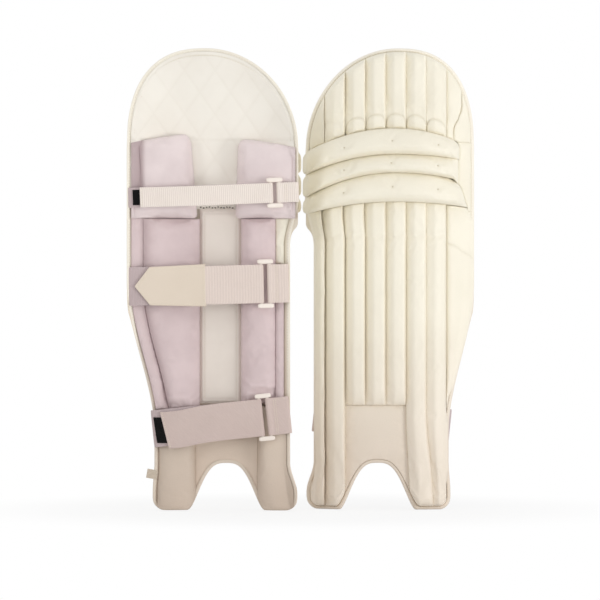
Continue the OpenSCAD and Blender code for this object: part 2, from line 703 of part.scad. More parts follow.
right_pad() knee_strap();  // right_knee_strap
right_pad() knee_hook();  // right_knee_hook
right_pad() calf_buckle();  // right_calf_buckle
right_pad() calf_strap();  // right_calf_strap
right_pad() calf_patch();  // right_calf_patch
right_pad() ankle_buckle();  // right_ankle_buckle
right_pad() ankle_strap();  // right_ankle_strap
right_pad() ankle_hook();  // right_ankle_hook
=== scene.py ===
"""Dresses a pair of batting leg guards: one pad shows its straps, the other its ribs.

Every shape is worked out for one pad in millimetres, ribbed face to -Y and straps to +Y,
and is then put into the frame twice, in metres.
"""
import math

import bpy
import numpy as np
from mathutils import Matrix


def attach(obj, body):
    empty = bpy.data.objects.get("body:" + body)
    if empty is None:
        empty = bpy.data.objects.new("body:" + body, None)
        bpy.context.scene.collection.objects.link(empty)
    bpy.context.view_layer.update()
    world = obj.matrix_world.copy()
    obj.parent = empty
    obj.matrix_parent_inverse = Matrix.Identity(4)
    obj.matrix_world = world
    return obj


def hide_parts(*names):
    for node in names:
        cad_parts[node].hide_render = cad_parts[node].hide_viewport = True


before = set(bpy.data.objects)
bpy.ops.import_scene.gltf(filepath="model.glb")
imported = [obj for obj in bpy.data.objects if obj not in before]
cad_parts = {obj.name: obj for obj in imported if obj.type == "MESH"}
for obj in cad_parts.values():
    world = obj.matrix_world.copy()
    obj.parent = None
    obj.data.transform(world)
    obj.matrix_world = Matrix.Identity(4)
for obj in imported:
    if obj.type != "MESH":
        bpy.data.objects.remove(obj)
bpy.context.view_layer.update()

SIDES = ("left", "right")

# sizes of a pad, in millimetres: x runs from the loop side to the wing side, and z up from the floor
MM = 0.001
PER_METRE = 1000.0
HALF_PITCH = 132.0
PAD_HEIGHT = 700.0
SPRING_Z = 545.0
CORE_T = 6.0
# between the foam sheet and the face pieces, between neighbours, and at a stuffed piece's rim
GAP, SEAM, EDGE_T = 0.5, 0.1, 2.0
# from the outline to the pieces inside the binding
INSET = 5.1
RIB_RISE, ROLL_RISE = 17.5, 34.0
# where the pieces behind the sheet start, and the knee cushions behind the lining
BACK_0, BACK_1 = 6.5, 10.0
# the sheet's curve back at its half width, and the feet's flare forward, from a height down
SHEET_BACK, SHEET_HALF = 46.0, 128.0
FLARE, FLARE_Z, FLARE_TALL = 8.0, 72.0, 47.0
# the outline: each side's place at its narrowest, its widening above and at the foot, and where it widens
INNER_X, INNER_KNEE, INNER_FOOT, KNEE_Z, KNEE_TALL = 113.5, 12.5, 11.0, 400.0, 70.0
OUTER_X, OUTER_CALF, OUTER_FOOT, CALF_Z, CALF_TALL = 91.0, 40.5, 2.75, 115.0, 230.0
DOME_X, DOME_REACH = 14.0, (140.0, 117.5)
CORNER_R = 18.0
ARCH_X, ARCH_HALF, ARCH_RISE = -17.0, 59.0, 71.0
INSTEP_TOP = 158.0
# channel seams: the first one's place, their pitch, and how far each leans out at the wing-side foot
SEAM_X, SEAM_PITCH = -97.0, 30.8
SEAM_LEAN = (0.0, 0.0, 0.0, 0.0, 5.0, 10.0, 0.0)
MID_SHIN = 300.0
CANE_GROOVE = 12.5
# how full each channel seam stays, loop side to wing side, as a share of a rib's rise
VALLEYS = (0.24, 0.26, 0.3, 0.38, 0.4, 0.58, 0.66)
# the lines between the knee rolls, their fall to each side of the crown, and the rolls' ends
ROLLS = ("upper", "middle", "lower")
ROLL_LINE = (578.0, 539.0, 511.0, 467.0)
ROLL_DROP = ((32.0, 20.0), (28.0, 7.0), (34.0, 11.0), (17.0, 6.0))
CROWN_X, CROWN_REACH = 8.0, (129.0, 100.0)
ROLL_LEFT = -131.0
ROLL_END = (108.0, 106.5, 114.0)
# wing-side upper corner of each knee roll: how tall its rounding is and how far it draws in
ROLL_CORNER = ((14.0, 14.0), (1.0, 0.0), (19.0, 20.0))
TIE_X = (-68.0, 4.0, 74.0)
# the top hat's reach to each side
HAT_LEFT, HAT_RIGHT = -120.2, 125.8
GUSSET_LOW, GUSSET_HIGH = 454.0, 558.0
# heights at which the gusset's edge passes from one roll's end to the next
GUSSET_TURN = (494.2, 532.2)
WING_LOW = 154.0
WING_CROWN = 7.0
HEM_Z = 456.0
CUSHION_LOW, CUSHION_HIGH = 441.0, 564.0
# how far out the pieces behind the wing reach
BACK_REACH = 125.2
# feet of the bolsters, and of what runs down behind the ankle strap
BOLSTER_LOW, STRAP_TUCK = 161.0, 151.0
# sides of the loop-side bolster, then of the wing-side one
BOLSTER_X = (-92.0, -40.0, 23.0, 108.0)
# what a strap leaves free above a cushion
STRAP_ROOM = 7.0
# straps in the order knee, calf, ankle
STRAPS = ("knee", "calf", "ankle")
STRAP_W = (30.0, 58.0, 56.0)
STRAP_TILT = (2.0, 1.2, 6.0)
STRAP_END = (203.0, 92.0, 153.0)
STRAP_SLANT = (0.0, 0.0, 3.9)
BUCKLE_X = (-91.0, -77.0, -76.0)
BUCKLE_Z = (479.6, 342.6, 141.0)
# each strap's straight line, from a place at the loop side to one at the wing side
WING_Y, LOOP_Y = (57.0, 56.0, 34.0), (54.0, 44.0, 42.0)
WING_X, LOOP_X = (130.0, 130.0, 92.0), (-125.0, -112.0, -112.0)
# where each lower layer bends down, where it is sewn on, and where each anchor is sewn on
RUN_END = (130.5, 129.5, 96.0)
RUN_FOOT = (128.9, 127.8, 89.0)
ANCHOR_ROOT = (-124.1, -109.4, -111.2)
BAR_X, BAR_R = 6.5, 2.2
WRAP_R = 3.3
WEB_T, ANCHOR_T = 1.5, 1.1
# the calf patch: where it starts, where it turns in to its point, its tip, and how far out its faces lie
PATCH_X, PATCH_TURN, PATCH_TIP = 90.5, 174.0, 197.0
PATCH_Y = (2.6, 4.6)
# how far out the faces of the hook fasteners lie
HOOK_Y = (1.05, 2.5)
# the woven tab: its height, how much is tucked in, half its width and half its thickness
TAB_Z, TAB_TUCK, TAB_HALF, TAB_T = 53.0, 5.0, 7.0, 0.6


# curves of the pad
def mix(a, b, t):
    """The value t of the way from a to b."""
    return a + (b - a) * t


def ease(t):
    """Smooth step from 0 to 1: 3t squared less 2t cubed, with t held between 0 and 1."""
    c = np.clip(t, 0.0, 1.0)
    return c * c * (3.0 - 2.0 * c)


def arch(s, n):
    """Half of a rounded oval over s from 0 to 1: (1 - |2s - 1|^n)^(1/n)."""
    return np.maximum(0.0, 1.0 - np.abs(2.0 * s - 1.0) ** n) ** (1.0 / n)


def plump(s, n):
    """Soft hump over s from 0 to 1: 1 - |2s - 1|^n."""
    return 1.0 - np.abs(2.0 * s - 1.0) ** n


def rounded(s, e):
    """Quarter circles of width e at both ends of s from 0 to 1, and 1 between them."""
    return np.sqrt(np.maximum(0.0, 1.0 - (1.0 - np.clip(np.minimum(s, 1.0 - s) / e, 0.0, 1.0)) ** 2))


def bell(d, width):
    """Bell curve of a distance: exp of minus (d / width) squared."""
    return np.exp(-(np.asarray(d) / width) ** 2)


def wander(a, b, seed=0.0):
    """Slow unevenness between about -1 and 1: four sine waves of a and b at odd angles."""
    return (np.sin(1.7 * a + 0.6 * b + seed) + np.sin(-0.9 * a + 2.1 * b + 1.3 * seed + 1.0)
            + 0.6 * np.sin(3.3 * a - 1.9 * b + 2.2 * seed)
            + 0.5 * np.sin(2.6 * a + 4.1 * b + 0.7 * seed)) / 2.4


def steps(n):
    """n + 1 even steps from 0 to 1."""
    return np.linspace(0.0, 1.0, n + 1)


def close_steps(n):
    """n + 1 steps from 0 to 1, closer together at both ends: half even, half cosine."""
    t = steps(n)
    return 0.5 * t + 0.25 * (1.0 - np.cos(np.pi * t))


def sheet_y(x, z):
    """The sheet that all layers follow: back with the cube of |x|, and forward at the feet with the
    square of the way down."""
    flare = FLARE * np.clip(1.0 - z / FLARE_Z, 0.0, 1.0) ** 2
    return SHEET_BACK * (np.abs(x) / SHEET_HALF) ** 3 - flare


def inner_edge(z, k=0.0):
    """Loop-side edge drawn in by k: wider at the knee and flared at the foot, joined by smooth steps."""
    knee, foot = ease((z - KNEE_Z) / KNEE_TALL), ease((FLARE_Z - z) / FLARE_TALL)
    return k - INNER_X - INNER_KNEE * knee - INNER_FOOT * foot


def wing_edge(z, k=0.0):
    """Wing-side edge drawn in by k: narrow at the ankle, wide from the calf up, joined by smooth
    steps."""
    calf, foot = ease((z - CALF_Z) / CALF_TALL), ease((FLARE_Z - z) / FLARE_TALL)
    return OUTER_X - k + OUTER_CALF * calf + OUTER_FOOT * foot


def dome_z(x, k=0.0):
    """Top edge drawn in by k: a rounded oval about the dome's middle, squarer on the wing side."""
    x = np.asarray(x, float)
    power = np.where(x < DOME_X, 2.0, 2.5)
    reach = np.where(x < DOME_X, DOME_REACH[0], DOME_REACH[1]) - k
    oval = np.maximum(0.0, 1.0 - (np.abs(x - DOME_X) / reach) ** power) ** (1.0 / power)
    return SPRING_Z + (PAD_HEIGHT - SPRING_Z - k) * oval


def corner_z(d, k):
    """Rise of a foot's rounded corner at distance d from its outer edge: a quarter circle, drawn in by
    k."""
    r = CORNER_R - k
    return np.where(d >= r, 0.0, r - np.sqrt(np.maximum(0.0, r * r - (r - np.maximum(0.0, d)) ** 2)))


def foot_z(x, k=0.0):
    """Bottom edge drawn in by k: two feet with rounded corners and a boot arch between them."""
    x = np.asarray(x, float)
    boot = np.maximum(0.0, 1.0 - (np.abs(x - ARCH_X) / (ARCH_HALF + k)) ** 3) ** 2
    return k + ARCH_RISE * boot + corner_z(x - inner_edge(0.0, k), k) + corner_z(wing_edge(0.0, k) - x, k)


def knee_line(i, x):
    """Line i between the knee rolls: its crown's height less a parabola to each side."""
    x = np.asarray(x, float)
    drop = np.where(x < CROWN_X, ROLL_DROP[i][0], ROLL_DROP[i][1])
    reach = np.where(x < CROWN_X, CROWN_REACH[0], CROWN_REACH[1])
    return ROLL_LINE[i] - drop * ((x - CROWN_X) / reach) ** 2


def rib_seam(i, z=MID_SHIN):
    """Sideways place of channel seam i, at an even pitch; the loop-side ones lean out where the knee
    widens, and two beside the boot arch lean out to the wing-side foot."""
    knee = 5.0 * max(0.0, 1.0 - i / 3.0) * ease((z - 395.0) / 60.0) * (z < 480.0)
    return SEAM_X + SEAM_PITCH * i - knee + SEAM_LEAN[i] * ease((150.0 - z) / 130.0)


def chord_y(i, x):
    """Straight line of strap i from the loop-side edge to the wing edge."""
    return mix(LOOP_Y[i], WING_Y[i], (x - LOOP_X[i]) / (WING_X[i] - LOOP_X[i]))


# edges of a piece, each a function of the height or of the way across
def level(value):
    """An edge that stays at one value."""
    return lambda s: 0 * s + value


def drawn(edge, k):
    """An edge of the outline, drawn in by k."""
    return lambda s: edge(s, k)


def beside(i, gap):
    """The edge that keeps a gap to the wing side of channel seam i."""
    return lambda z: rib_seam(i, z) + gap


# skins
def spots(edges, z_range, us, vs):
    """Grid of spots between four edges (left, right, low, high): u of the way across and v of the way
    up, settled in three turns."""
    left, right, low, high = edges
    u, v = np.meshgrid(us, vs)
    z = mix(z_range[0], z_range[1], v)
    for _ in range(3):
        x = mix(left(z), right(z), u)
        z = mix(low(x), high(x), v)
    return x, z, u, v


def on_sheet(x, z, out):
    """Points at x and z, with y the sheet's own plus out."""
    return np.stack([x, sheet_y(x, z) + out, z], -1)


def skin_faces(rows, cols):
    """Faces of a closed skin: a front sheet, a back sheet turned the other way, and a wall along each
    rim."""
    n = rows * cols
    at = np.arange(n).reshape(rows, cols)
    a, b, c, d = at[:-1, :-1].ravel(), at[:-1, 1:].ravel(), at[1:, 1:].ravel(), at[1:, :-1].ravel()
    walls = [(at[0, 1:], at[0, :-1]), (at[-1, :-1], at[-1, 1:]),
             (at[:-1, 0], at[1:, 0]), (at[1:, -1], at[:-1, -1])]
    return np.concatenate([np.stack([a, b, c, d], -1), np.stack([a, d, c, b], -1) + n]
                          + [np.stack([p, q, q + n, p + n], -1) for p, q in walls])


def outward(points, faces):
    """The faces turned to point outwards: a closed skin's signed volume is then above zero."""
    a, b, c, d = (points[faces[:, k]] for k in range(4))
    volume = np.einsum("ij,ij->", a, np.cross(b, c)) + np.einsum("ij,ij->", a, np.cross(c, d))
    return faces if volume >= 0.0 else faces[:, ::-1]


def along(grid, axis):
    """Running length of a grid's lines along one axis."""
    step = np.linalg.norm(np.diff(grid, axis=axis), axis=-1)
    start = np.zeros_like(np.take(step, [0], axis=axis))
    return np.concatenate([start, np.cumsum(step, axis=axis)], axis=axis)


def skin(front, back, shade=None):
    """One closed skin of two grids: points, faces, flat coordinates by running length, and shade."""
    rows, cols = front.shape[:2]
    points = np.concatenate([front.reshape(-1, 3), back.reshape(-1, 3)])
    flat = np.stack([along(front, 1), along(front, 0)], -1).reshape(-1, 2)
    dark = np.zeros(rows * cols) if shade is None else np.asarray(shade, float).ravel()
    return {"points": points, "faces": outward(points, skin_faces(rows, cols)),
            "flat": np.concatenate([flat, flat]), "shade": np.concatenate([dark, dark])}


def ringed(rings, faces):
    """A skin of rings (rows, around, 3) with the given faces, and flat coordinates by running length."""
    points = rings.reshape(-1, 3)
    run = np.stack([along(rings, 1), along(rings, 0)], -1).reshape(-1, 2)
    return {"points": points, "faces": outward(points, faces), "flat": run, "shade": np.zeros(len(points))}


def tube(rings):
    """Closed skin of rings joined in order, each end closed by quads across its ring."""
    rows, around = rings.shape[:2]
    at = np.arange(rows * around).reshape(rows, around)
    nxt = np.roll(at, -1, axis=1)
    side = np.stack([at[:-1], nxt[:-1], nxt[1:], at[1:]], -1).reshape(-1, 4)
    k = np.arange(around // 2 - 1)
    cap = np.stack([k, k + 1, around - 2 - k, around - 1 - k], -1)
    return ringed(rings, np.concatenate([side, cap[:, ::-1], cap + (rows - 1) * around]))


def ring_band(rings):
    """Closed band of rings whose last row joins its first."""
    rows, around = rings.shape[:2]
    at = np.arange(rows * around).reshape(rows, around)
    over, up = np.roll(at, -1, axis=1), np.roll(at, -1, axis=0)
    return ringed(rings, np.stack([at, over, np.roll(up, -1, axis=1), up], -1).reshape(-1, 4))


def together(skins):
    """Several skins as one, with each one's faces counted on from the last."""
    starts = np.cumsum([0] + [len(s["points"]) for s in skins[:-1]])
    joined = {key: np.concatenate([s[key] for s in skins]) for key in ("points", "flat", "shade")}
    joined["faces"] = np.concatenate([s["faces"] + start for s, start in zip(skins, starts)])
    joined["finish"] = np.concatenate([np.full(len(s["faces"]), s.get("slot", 0)) for s in skins])
    return joined


# stuffed pieces
LOBES = {}


def rim_distance(grid):
    """Distance from each grid point to the nearest rim, along the grid lines."""
    across, up = along(grid, 1), along(grid, 0)
    return np.minimum(np.minimum(across, across[:, -1:] - across), np.minimum(up, up[-1:] - up))


def stuffed(piece, crown, base, to_back=False, grow=0.02, cap=2.5, held=None, slot=0, mark=0.0):
    """Adds a stuffed lobe to a piece: its crown sheet is held at the rim, its base sheet lies on the pad,
    and mark is painted shade that darkens its folds."""
    pins = np.zeros(crown.shape[:2], bool)
    pins[[0, -1], :] = True
    pins[:, [0, -1]] = True
    if held is not None:
        pins |= held
    LOBES.setdefault(piece, []).append({"crown": crown, "base": base, "to_back": to_back, "grow": grow,
                                        "cap": cap, "pins": pins, "slot": slot, "mark": mark})


def marked(crease, *spot):
    """How much painted shade a crease lays at its spots; none where there is no crease."""
    return 0.0 if crease is None else crease(*spot)


def shouldered(crown, lap, z, u, full):
    """A crown sheet with its shoulder moved sideways by its lap, if it has one."""
    if lap is None:
        return crown
    move = lap(z, u, full)
    return crown + np.stack([move, 0 * move, 0 * move], -1)


def lowest(*lines, sharp=16.0):
    """The lowest of several lines, with the corners between them softened."""
    return -np.log(sum(np.exp(-sharp * line) for line in lines)) / sharp


def ribbed(u, valleys):
    """Section of a rib: the lowest of a straight flank up to u = 0.4, a nearly flat top and a sudden
    fall, over valleys that lie at shares of the full rise."""
    valley = mix(valleys[0], valleys[1], u)
    flank, top, fall = u / 0.4, 1.06 - 0.14 * u, 1.25 * (1.0 - u ** 16)
    return valley + (1.0 - valley) * np.maximum(0.0, lowest(flank, top, fall))


def rolled(v):
    """Section of a knee roll, seen from its lower line: a sudden rise, a full belly low down, and a long
    round slope to its upper line, which lies at just over half of the full rise."""
    rise, slope = 1.2 * (1.0 - (1.0 - v) ** 12), 1.0 - np.clip((v - 0.2) / 0.8, 0.0, 1.0) ** 2
    rim, belly = mix(0.66, 0.52, v), mix(0.34, 0.48, v)
    return rim + belly * np.maximum(0.0, lowest(slope + 0.04, rise))


def rib(piece, edges, z_range, tip, rows, valleys, ends, dent=None, crease=None, lap=None):
    """Half-round channel: its rise times its section across, rounded down to its shares at foot and
    head, with a cane groove behind. A lap moves its shoulder sideways over the binding."""
    x, z, u, v = spots(edges, z_range, close_steps(22), close_steps(rows))
    full = ribbed(u, valleys) * mix(np.where(v < 0.5, ends[0], ends[1]), 1.0, rounded(v, tip))
    uneven = 1.0 + 0.02 * wander(x / 40.0, z / 55.0, float(edges[0](MID_SHIN)) * 0.1)
    out = -GAP - EDGE_T - RIB_RISE * full * uneven
    if dent is not None:
        out = out + dent(x, z, u, v) * full ** 0.6
    groove = CANE_GROOVE * np.maximum(0.0, 1.0 - np.abs(2.0 * u - 1.0) / 0.4) * rounded(v, tip)
    crown = shouldered(on_sheet(x, z, out), lap, z, u, full)
    stuffed(piece, crown, on_sheet(x, z, -GAP - groove), grow=0.01, cap=0.7, mark=marked(crease, x, z, u, v))


def lapped(full, start, reach):
    """Sideways move of a shoulder: nothing below start of the rise, so that it clears the binding, then
    out to its reach and back to nothing at the full rise."""
    return reach * ease((full - start) / 0.2) * (1.0 - ease((full - start - 0.2) / (0.8 - start)))


def plain_panel(piece, edges, z_range, grid, rise, bend, tip, floor, dent=None, crease=None, lap=None):
    """Flat stuffed panel: rise times a squarish arch across, rounded at both ends; its rim keeps a floor
    of the rise."""
    x, z, u, v = spots(edges, z_range, *grid)
    full = mix(floor, 1.0, arch(u, bend) * rounded(v, tip))
    out = -GAP - EDGE_T - rise * full * (1.0 + 0.05 * wander(x / 45.0, z / 50.0, rise))
    if dent is not None:
        out = out + dent(x, z, u, v)
    crown = shouldered(on_sheet(x, z, out), lap, z, u, full)
    stuffed(piece, crown, on_sheet(x, z, np.full_like(x, -GAP)), grow=0.006, cap=0.8,
            mark=marked(crease, x, z, u, v))


def shape_shin_ribs():
    """Seven ribs between the channel seams; ribs 2 to 4 stop above the instep panel, the rest run to the
    feet."""
    def loop_lap(z, u, full):
        """Out over the binding on the loop side, from just above the floor up."""
        return lapped(full, start=0.14, reach=-5.0) * (u < 0.5) * ease((z - 30.0) / 35.0)

    def wing_lap(z, u, full):
        """Out over the binding on the wing side, between the floor and the wing."""
        shoulder = lapped(full, start=0.22, reach=5.0) * (u > 0.5)
        return shoulder * ease((z - 30.0) / 35.0) * ease((155.0 - z) / 25.0)

    def under_rolls(x, z, u, v):
        """A bell-shaped dip of 2 mm across each rib, slanting up by 8 mm."""
        return 2.0 * bell(z - 412.0 - 8.0 * u, 7.0)

    def last_edge(z):
        """The last channel seam, or the wing edge where that is nearer."""
        return np.minimum(rib_seam(6) - SEAM / 2, wing_edge(z, INSET))

    for i in range(7):
        short = 1 < i < 5
        edges = (beside(i - 1, SEAM / 2) if i else drawn(inner_edge, INSET),
                 beside(i, -SEAM / 2) if i < 6 else last_edge,
                 level(INSTEP_TOP + SEAM) if short else drawn(foot_z, INSET),
                 lambda x: knee_line(3, x) - SEAM)
        rib("shin_ribs", edges, (INSTEP_TOP if short else 0.0, ROLL_LINE[3]), tip=0.09 if short else 0.03,
            rows=110 if short else 160, valleys=(VALLEYS[i - 1] if i else 0.0, VALLEYS[i] if i < 6 else 0.2),
            ends=(0.25, 0.85), dent=under_rolls, lap={0: loop_lap, 6: wing_lap}.get(i))


def shape_instep_panel():
    """Flat panel over the boot arch, drawn to a crown of 3 mm."""
    edges = (level(rib_seam(1) + SEAM / 2), beside(4, -SEAM / 2),
             drawn(foot_z, INSET), level(INSTEP_TOP - SEAM))
    plain_panel("instep_panel", edges, (0.0, INSTEP_TOP), (close_steps(44), close_steps(60)),
                rise=3.0, bend=4.0, tip=0.06, floor=0.8)


def over_binding(x, start, width):
    """Extra 4.5 mm forward where a knee roll passes over the edge binding."""
    return 4.5 * ease((start - x) / width)


def turned(s, stop, length, draw):
    """Quarter of an oval: nothing up to a length before the stop, then all of draw at the stop."""
    return draw * (1.0 - np.sqrt(1.0 - np.clip((s - stop + length) / length, 0.0, 1.0) ** 2))


def roll_stop(i, z):
    """Wing-side end of roll i: rounded off at its upper corner; the lower roll's slants out 6.5 mm as it
    turns down."""
    low, high = knee_line(i + 1, ROLL_END[i]), knee_line(i, ROLL_END[i])
    share = np.clip((z - low) / (high - low), 0.0, 1.0)
    tall, draw = ROLL_CORNER[i]
    slant = 6.5 if i == 2 else 0.0
    top = knee_line(i, ROLL_END[i] - slant - draw)
    return ROLL_END[i] + slant * (1.0 - 2.0 * share) - turned(z, top, tall, draw)


def roll_pinch(x):
    """How far a roll's upper and lower lines each draw in at its loop-side end: up to 10 mm."""
    return turned(-x, -ROLL_LEFT, length=10.0, draw=10.0)


def corner_fill(i, x):
    """How far the middle roll's lower line falls at its wing-side end, to close on the rounded corner
    below it."""
    return 0.8 * np.maximum(0.0, x - 97.8) if i == 1 else 0.0


def shape_knee_roll(i):
    """Roll i: its rise times its section up its height, rounded at both ends, drawn in 3 mm at its three
    ties."""
    edges = (level(ROLL_LEFT), lambda z: roll_stop(i, z),
             lambda x: knee_line(i + 1, x) + SEAM / 2 + roll_pinch(x) - corner_fill(i, x),
             lambda x: knee_line(i, x) - SEAM / 2 - roll_pinch(x))
    x, z, u, v = spots(edges, (ROLL_LINE[i + 1], ROLL_LINE[i]), close_steps(100), close_steps(26))
    up = (v - 0.5) * (ROLL_LINE[i] - ROLL_LINE[i + 1])
    ties = np.stack([bell(x - t, 2.8) * bell(up, 2.8) for t in TIE_X]).max(0)
    pulls = np.stack([bell(x - t, 10.0) * bell(up, 9.0) for t in TIE_X]).max(0)
    loop_end, wing_end = rounded(np.minimum(u, 0.5), 0.14), rounded(np.maximum(u, 0.5), 0.08)
    ends = mix(0.24, 1.0, loop_end) * mix(0.26, 1.0, wing_end)
    full = rolled(v) * ends * (1.0 + 0.02 * wander(x / 45.0, z / 30.0, i))
    front = -GAP - over_binding(x, start=-86.0, width=34.0)
    base = -GAP - over_binding(x, start=-108.0, width=8.0)
    out = front - EDGE_T - ROLL_RISE * full + 2.2 * ties + 0.6 * pulls
    stuffed(f"knee_roll_{ROLLS[i]}", on_sheet(x, z, out), on_sheet(x, z, base), grow=0.012, cap=1.5,
            held=ties > 0.6)


def flap_seam(z):
    """Curved seam between the two wing-side flaps of the top hat, leaning out as it rises."""
    return mix(98.8, 111.8, ease((z - 575.0) / 42.0))


def shape_top_hat():
    """Six ribs that run up into the dome, a plain flap on the loop side and two on the wing side."""
    def over(x, z, u):
        """Height above a knuckle's crease, which arches 20 mm up from just over the upper roll."""
        return z - knee_line(0, x) - 3.0 - 20.0 * arch(np.clip((u - 0.03) / 0.94, 0.0, 1.0), 2.6)

    def knuckle(x, z, u, v):
        """A bell-shaped crease at the arch, and a shallow hollow that fades out above it."""
        above = over(x, z, u)
        return 4.2 * bell(above, 2.2) + 3.0 * ease(above / 4.0) * bell(above - 3.0, 14.0)

    def knuckle_line(x, z, u, v):
        """Shade along the crease, as a bell."""
        return 2.0 * bell(over(x, z, u), 1.6)

    def soft_fold(x, z, u, v):
        """A bell-shaped dip of 2 mm, 26 mm above the upper roll."""
        return 2.0 * bell(z - knee_line(0, x) - 26.0, 6.0)

    def rib_low(x):
        """Just above the upper roll."""
        return knee_line(0, x) + SEAM

    def flap_low(x):
        """Just above the upper roll and the gusset, falling to close on the roll's rounded corner."""
        return np.maximum(GUSSET_HIGH, knee_line(0, x) - 0.8 * np.maximum(0.0, x - 103.0)) + SEAM

    seams, z_range = [rib_seam(i) for i in range(7)], (ROLL_LINE[0], PAD_HEIGHT)
    lefts = [level(HAT_LEFT), *(level(s + SEAM / 2) for s in seams), lambda z: flap_seam(z) + SEAM / 2]
    rights = [*(level(s - SEAM / 2) for s in seams), lambda z: flap_seam(z) - SEAM / 2, level(HAT_RIGHT)]
    for i in range(9):
        edges = (lefts[i], rights[i], flap_low if i > 6 else rib_low, drawn(dome_z, INSET))
        if 0 < i < 7:
            rib("top_hat", edges, z_range, tip=0.12, rows=96,
                valleys=(VALLEYS[i - 1] + 0.1, VALLEYS[i] + 0.1), ends=(0.6, 0.25),
                dent=knuckle if i > 1 else soft_fold, crease=knuckle_line if i > 1 else None)
        else:
            x, z, u, v = spots(edges, z_range, close_steps(10), close_steps(30))
            out = -GAP - EDGE_T - 0.5 * RIB_RISE * mix(0.6 if i else 0.4, 1.0, arch(u, 3.0) * arch(v, 4.0))
            base = on_sheet(x, z, np.full_like(x, -GAP))
            stuffed("top_hat", on_sheet(x, z, out), base, grow=0.008, cap=0.8)


def wing_seam_z(x):
    """Curved seam across the top of the wing, falling towards the edge."""
    return 404.0 - 22.0 * np.clip((x - 88.0) / 36.0, 0.0, 1.0) ** 1.6


def shape_side_wing():
    """Smooth wing beside the shin, 7 mm proud, with a curved seam pressed 1.8 mm into it; its top is
    filled out to meet the lower knee roll."""
    def high(x):
        """Along the lower knee roll, then level with the foot of the gusset."""
        return np.where(x < 120.5, knee_line(3, x) - 0.4, GUSSET_LOW - SEAM)

    def pressed(x, z, u, v):
        """A bell along the seam, less a filling of 4.5 mm along the top edge."""
        return (1.8 * bell(z - wing_seam_z(x), 1.6)
                - 4.5 * bell(300.0 * (1.0 - v), 3.0) * ease((x - 88.0) / 6.0))

    def seam_shade(x, z, u, v):
        """Shade along the seam, as a bell."""
        return 2.0 * bell(z - wing_seam_z(x), 1.4)

    def edge_lap(z, u, full):
        """Out over the binding towards the edge, fading at the foot and at the top."""
        return (4.6 * ease((full - 0.42) / 0.2) * ease((u - 0.6) / 0.3)
                * ease((z - 165.0) / 30.0) * ease((448.0 - z) / 12.0))

    edges = (level(rib_seam(6) + SEAM / 2), drawn(wing_edge, INSET), level(WING_LOW), high)
    across = 0.5 - 0.5 * np.cos(np.pi * steps(26))
    plain_panel("side_wing", edges, (WING_LOW, GUSSET_LOW), (across, close_steps(150)), rise=WING_CROWN,
                bend=3.0, tip=0.03, floor=0.12, dent=pressed, crease=seam_shade, lap=edge_lap)


def gusset_left(z):
    """Inner edge of the gusset, just clear of the ends of the three knee rolls."""
    above = np.where(z < GUSSET_TURN[1], roll_stop(1, z), roll_stop(0, z))
    return np.where(z < GUSSET_TURN[0], roll_stop(2, z), above) + 0.15


def shape_knee_gusset():
    """Narrow panel that closes the ends of the knee rolls."""
    edges = (gusset_left, drawn(wing_edge, INSET + SEAM), level(GUSSET_LOW), level(GUSSET_HIGH))
    plain_panel("knee_gusset", edges, (GUSSET_LOW, GUSSET_HIGH), (close_steps(10), close_steps(120)),
                rise=WING_CROWN, bend=3.0, tip=0.08, floor=0.75)


def cushion_out(i, x, z, base, crown, form, blend=4.0):
    """Height of a back cushion over the sheet: its crown, softly held under strap i, times its form."""
    room = chord_y(i, x) - STRAP_ROOM - sheet_y(x, z) - base
    soft = -blend * np.log(np.exp(-crown / blend) + np.exp(-np.clip(room, -60.0, 200.0) / blend))
    return base + EDGE_T + np.maximum(0.0, soft - EDGE_T) * form


def back_lobe(piece, edges, z_range, grid, strap, base, crown, form, dent=None, crease=None, **cloth):
    """Crowned cushion on the back: its form times its crown, kept under a strap."""
    x, z, u, v = spots(edges, z_range, *grid)
    out = cushion_out(strap, x, z, base, crown, form(u, v))
    if dent is not None:
        out = np.maximum(base + 1.0, out - dent(x, z, u, v))
    stuffed(piece, on_sheet(x, z, out), on_sheet(x, z, np.full_like(x, base)), to_back=True,
            mark=marked(crease, x, z, u, v), **cloth)


def shape_knee_cushions():
    """Two boxy pillows beside the knee, rounded at their inner corners; the wing-side one drops to its
    outer edge."""
    def fold(x, z, u, v):
        """A step of 6 mm down to the outer edge, with a bell-shaped crease in it."""
        return (6.0 * ease((x - 105.0) / 9.0) + 2.5 * bell(x - 108.0, 2.6)) * ease((z - 462.0) / 14.0)

    def fold_shade(x, z, u, v):
        """Shade from the step to the outer edge."""
        return 3.7 * ease((x - 104.0) / 7.0) * ease((z - 462.0) / 14.0)

    def form(u, v):
        """Rounded ovals across and up, a little uneven."""
        return arch(u, 3.2) * arch(v, 3.2) * (1.0 + 0.03 * wander(3.0 * u, 3.0 * v, 2.0))

    def corner(d, r):
        """Quarter circle of radius r at distance d from a side."""
        return r - np.sqrt(np.maximum(0.0, r * r - (r - np.clip(d, 0.0, r)) ** 2))

    pillows = ((level(-122.0), lambda z: -30.5 - 0.04 * (z - CUSHION_LOW), CUSHION_HIGH,
                lambda x: corner(-35.4 - x, 13.0), lambda x: corner(-30.5 - x, 8.0), None, None),
               (lambda z: 26.5 + 0.08 * (z - CUSHION_LOW), level(BACK_REACH), CUSHION_HIGH + 8.0,
                lambda x: corner(x - 37.0, 13.0), lambda x: corner(x - 26.5, 8.0), fold, fold_shade))
    for left, right, tall, top, foot, dent, crease in pillows:
        edges = (left, right, lambda x: CUSHION_LOW + foot(x), lambda x: tall - 0.0011 * x ** 2 - top(x))
        back_lobe("knee_cushions", edges, (CUSHION_LOW, tall), (close_steps(44), close_steps(46)), strap=0,
                  base=BACK_1, crown=32.0, form=form, dent=dent, crease=crease, grow=0.03, cap=2.2)


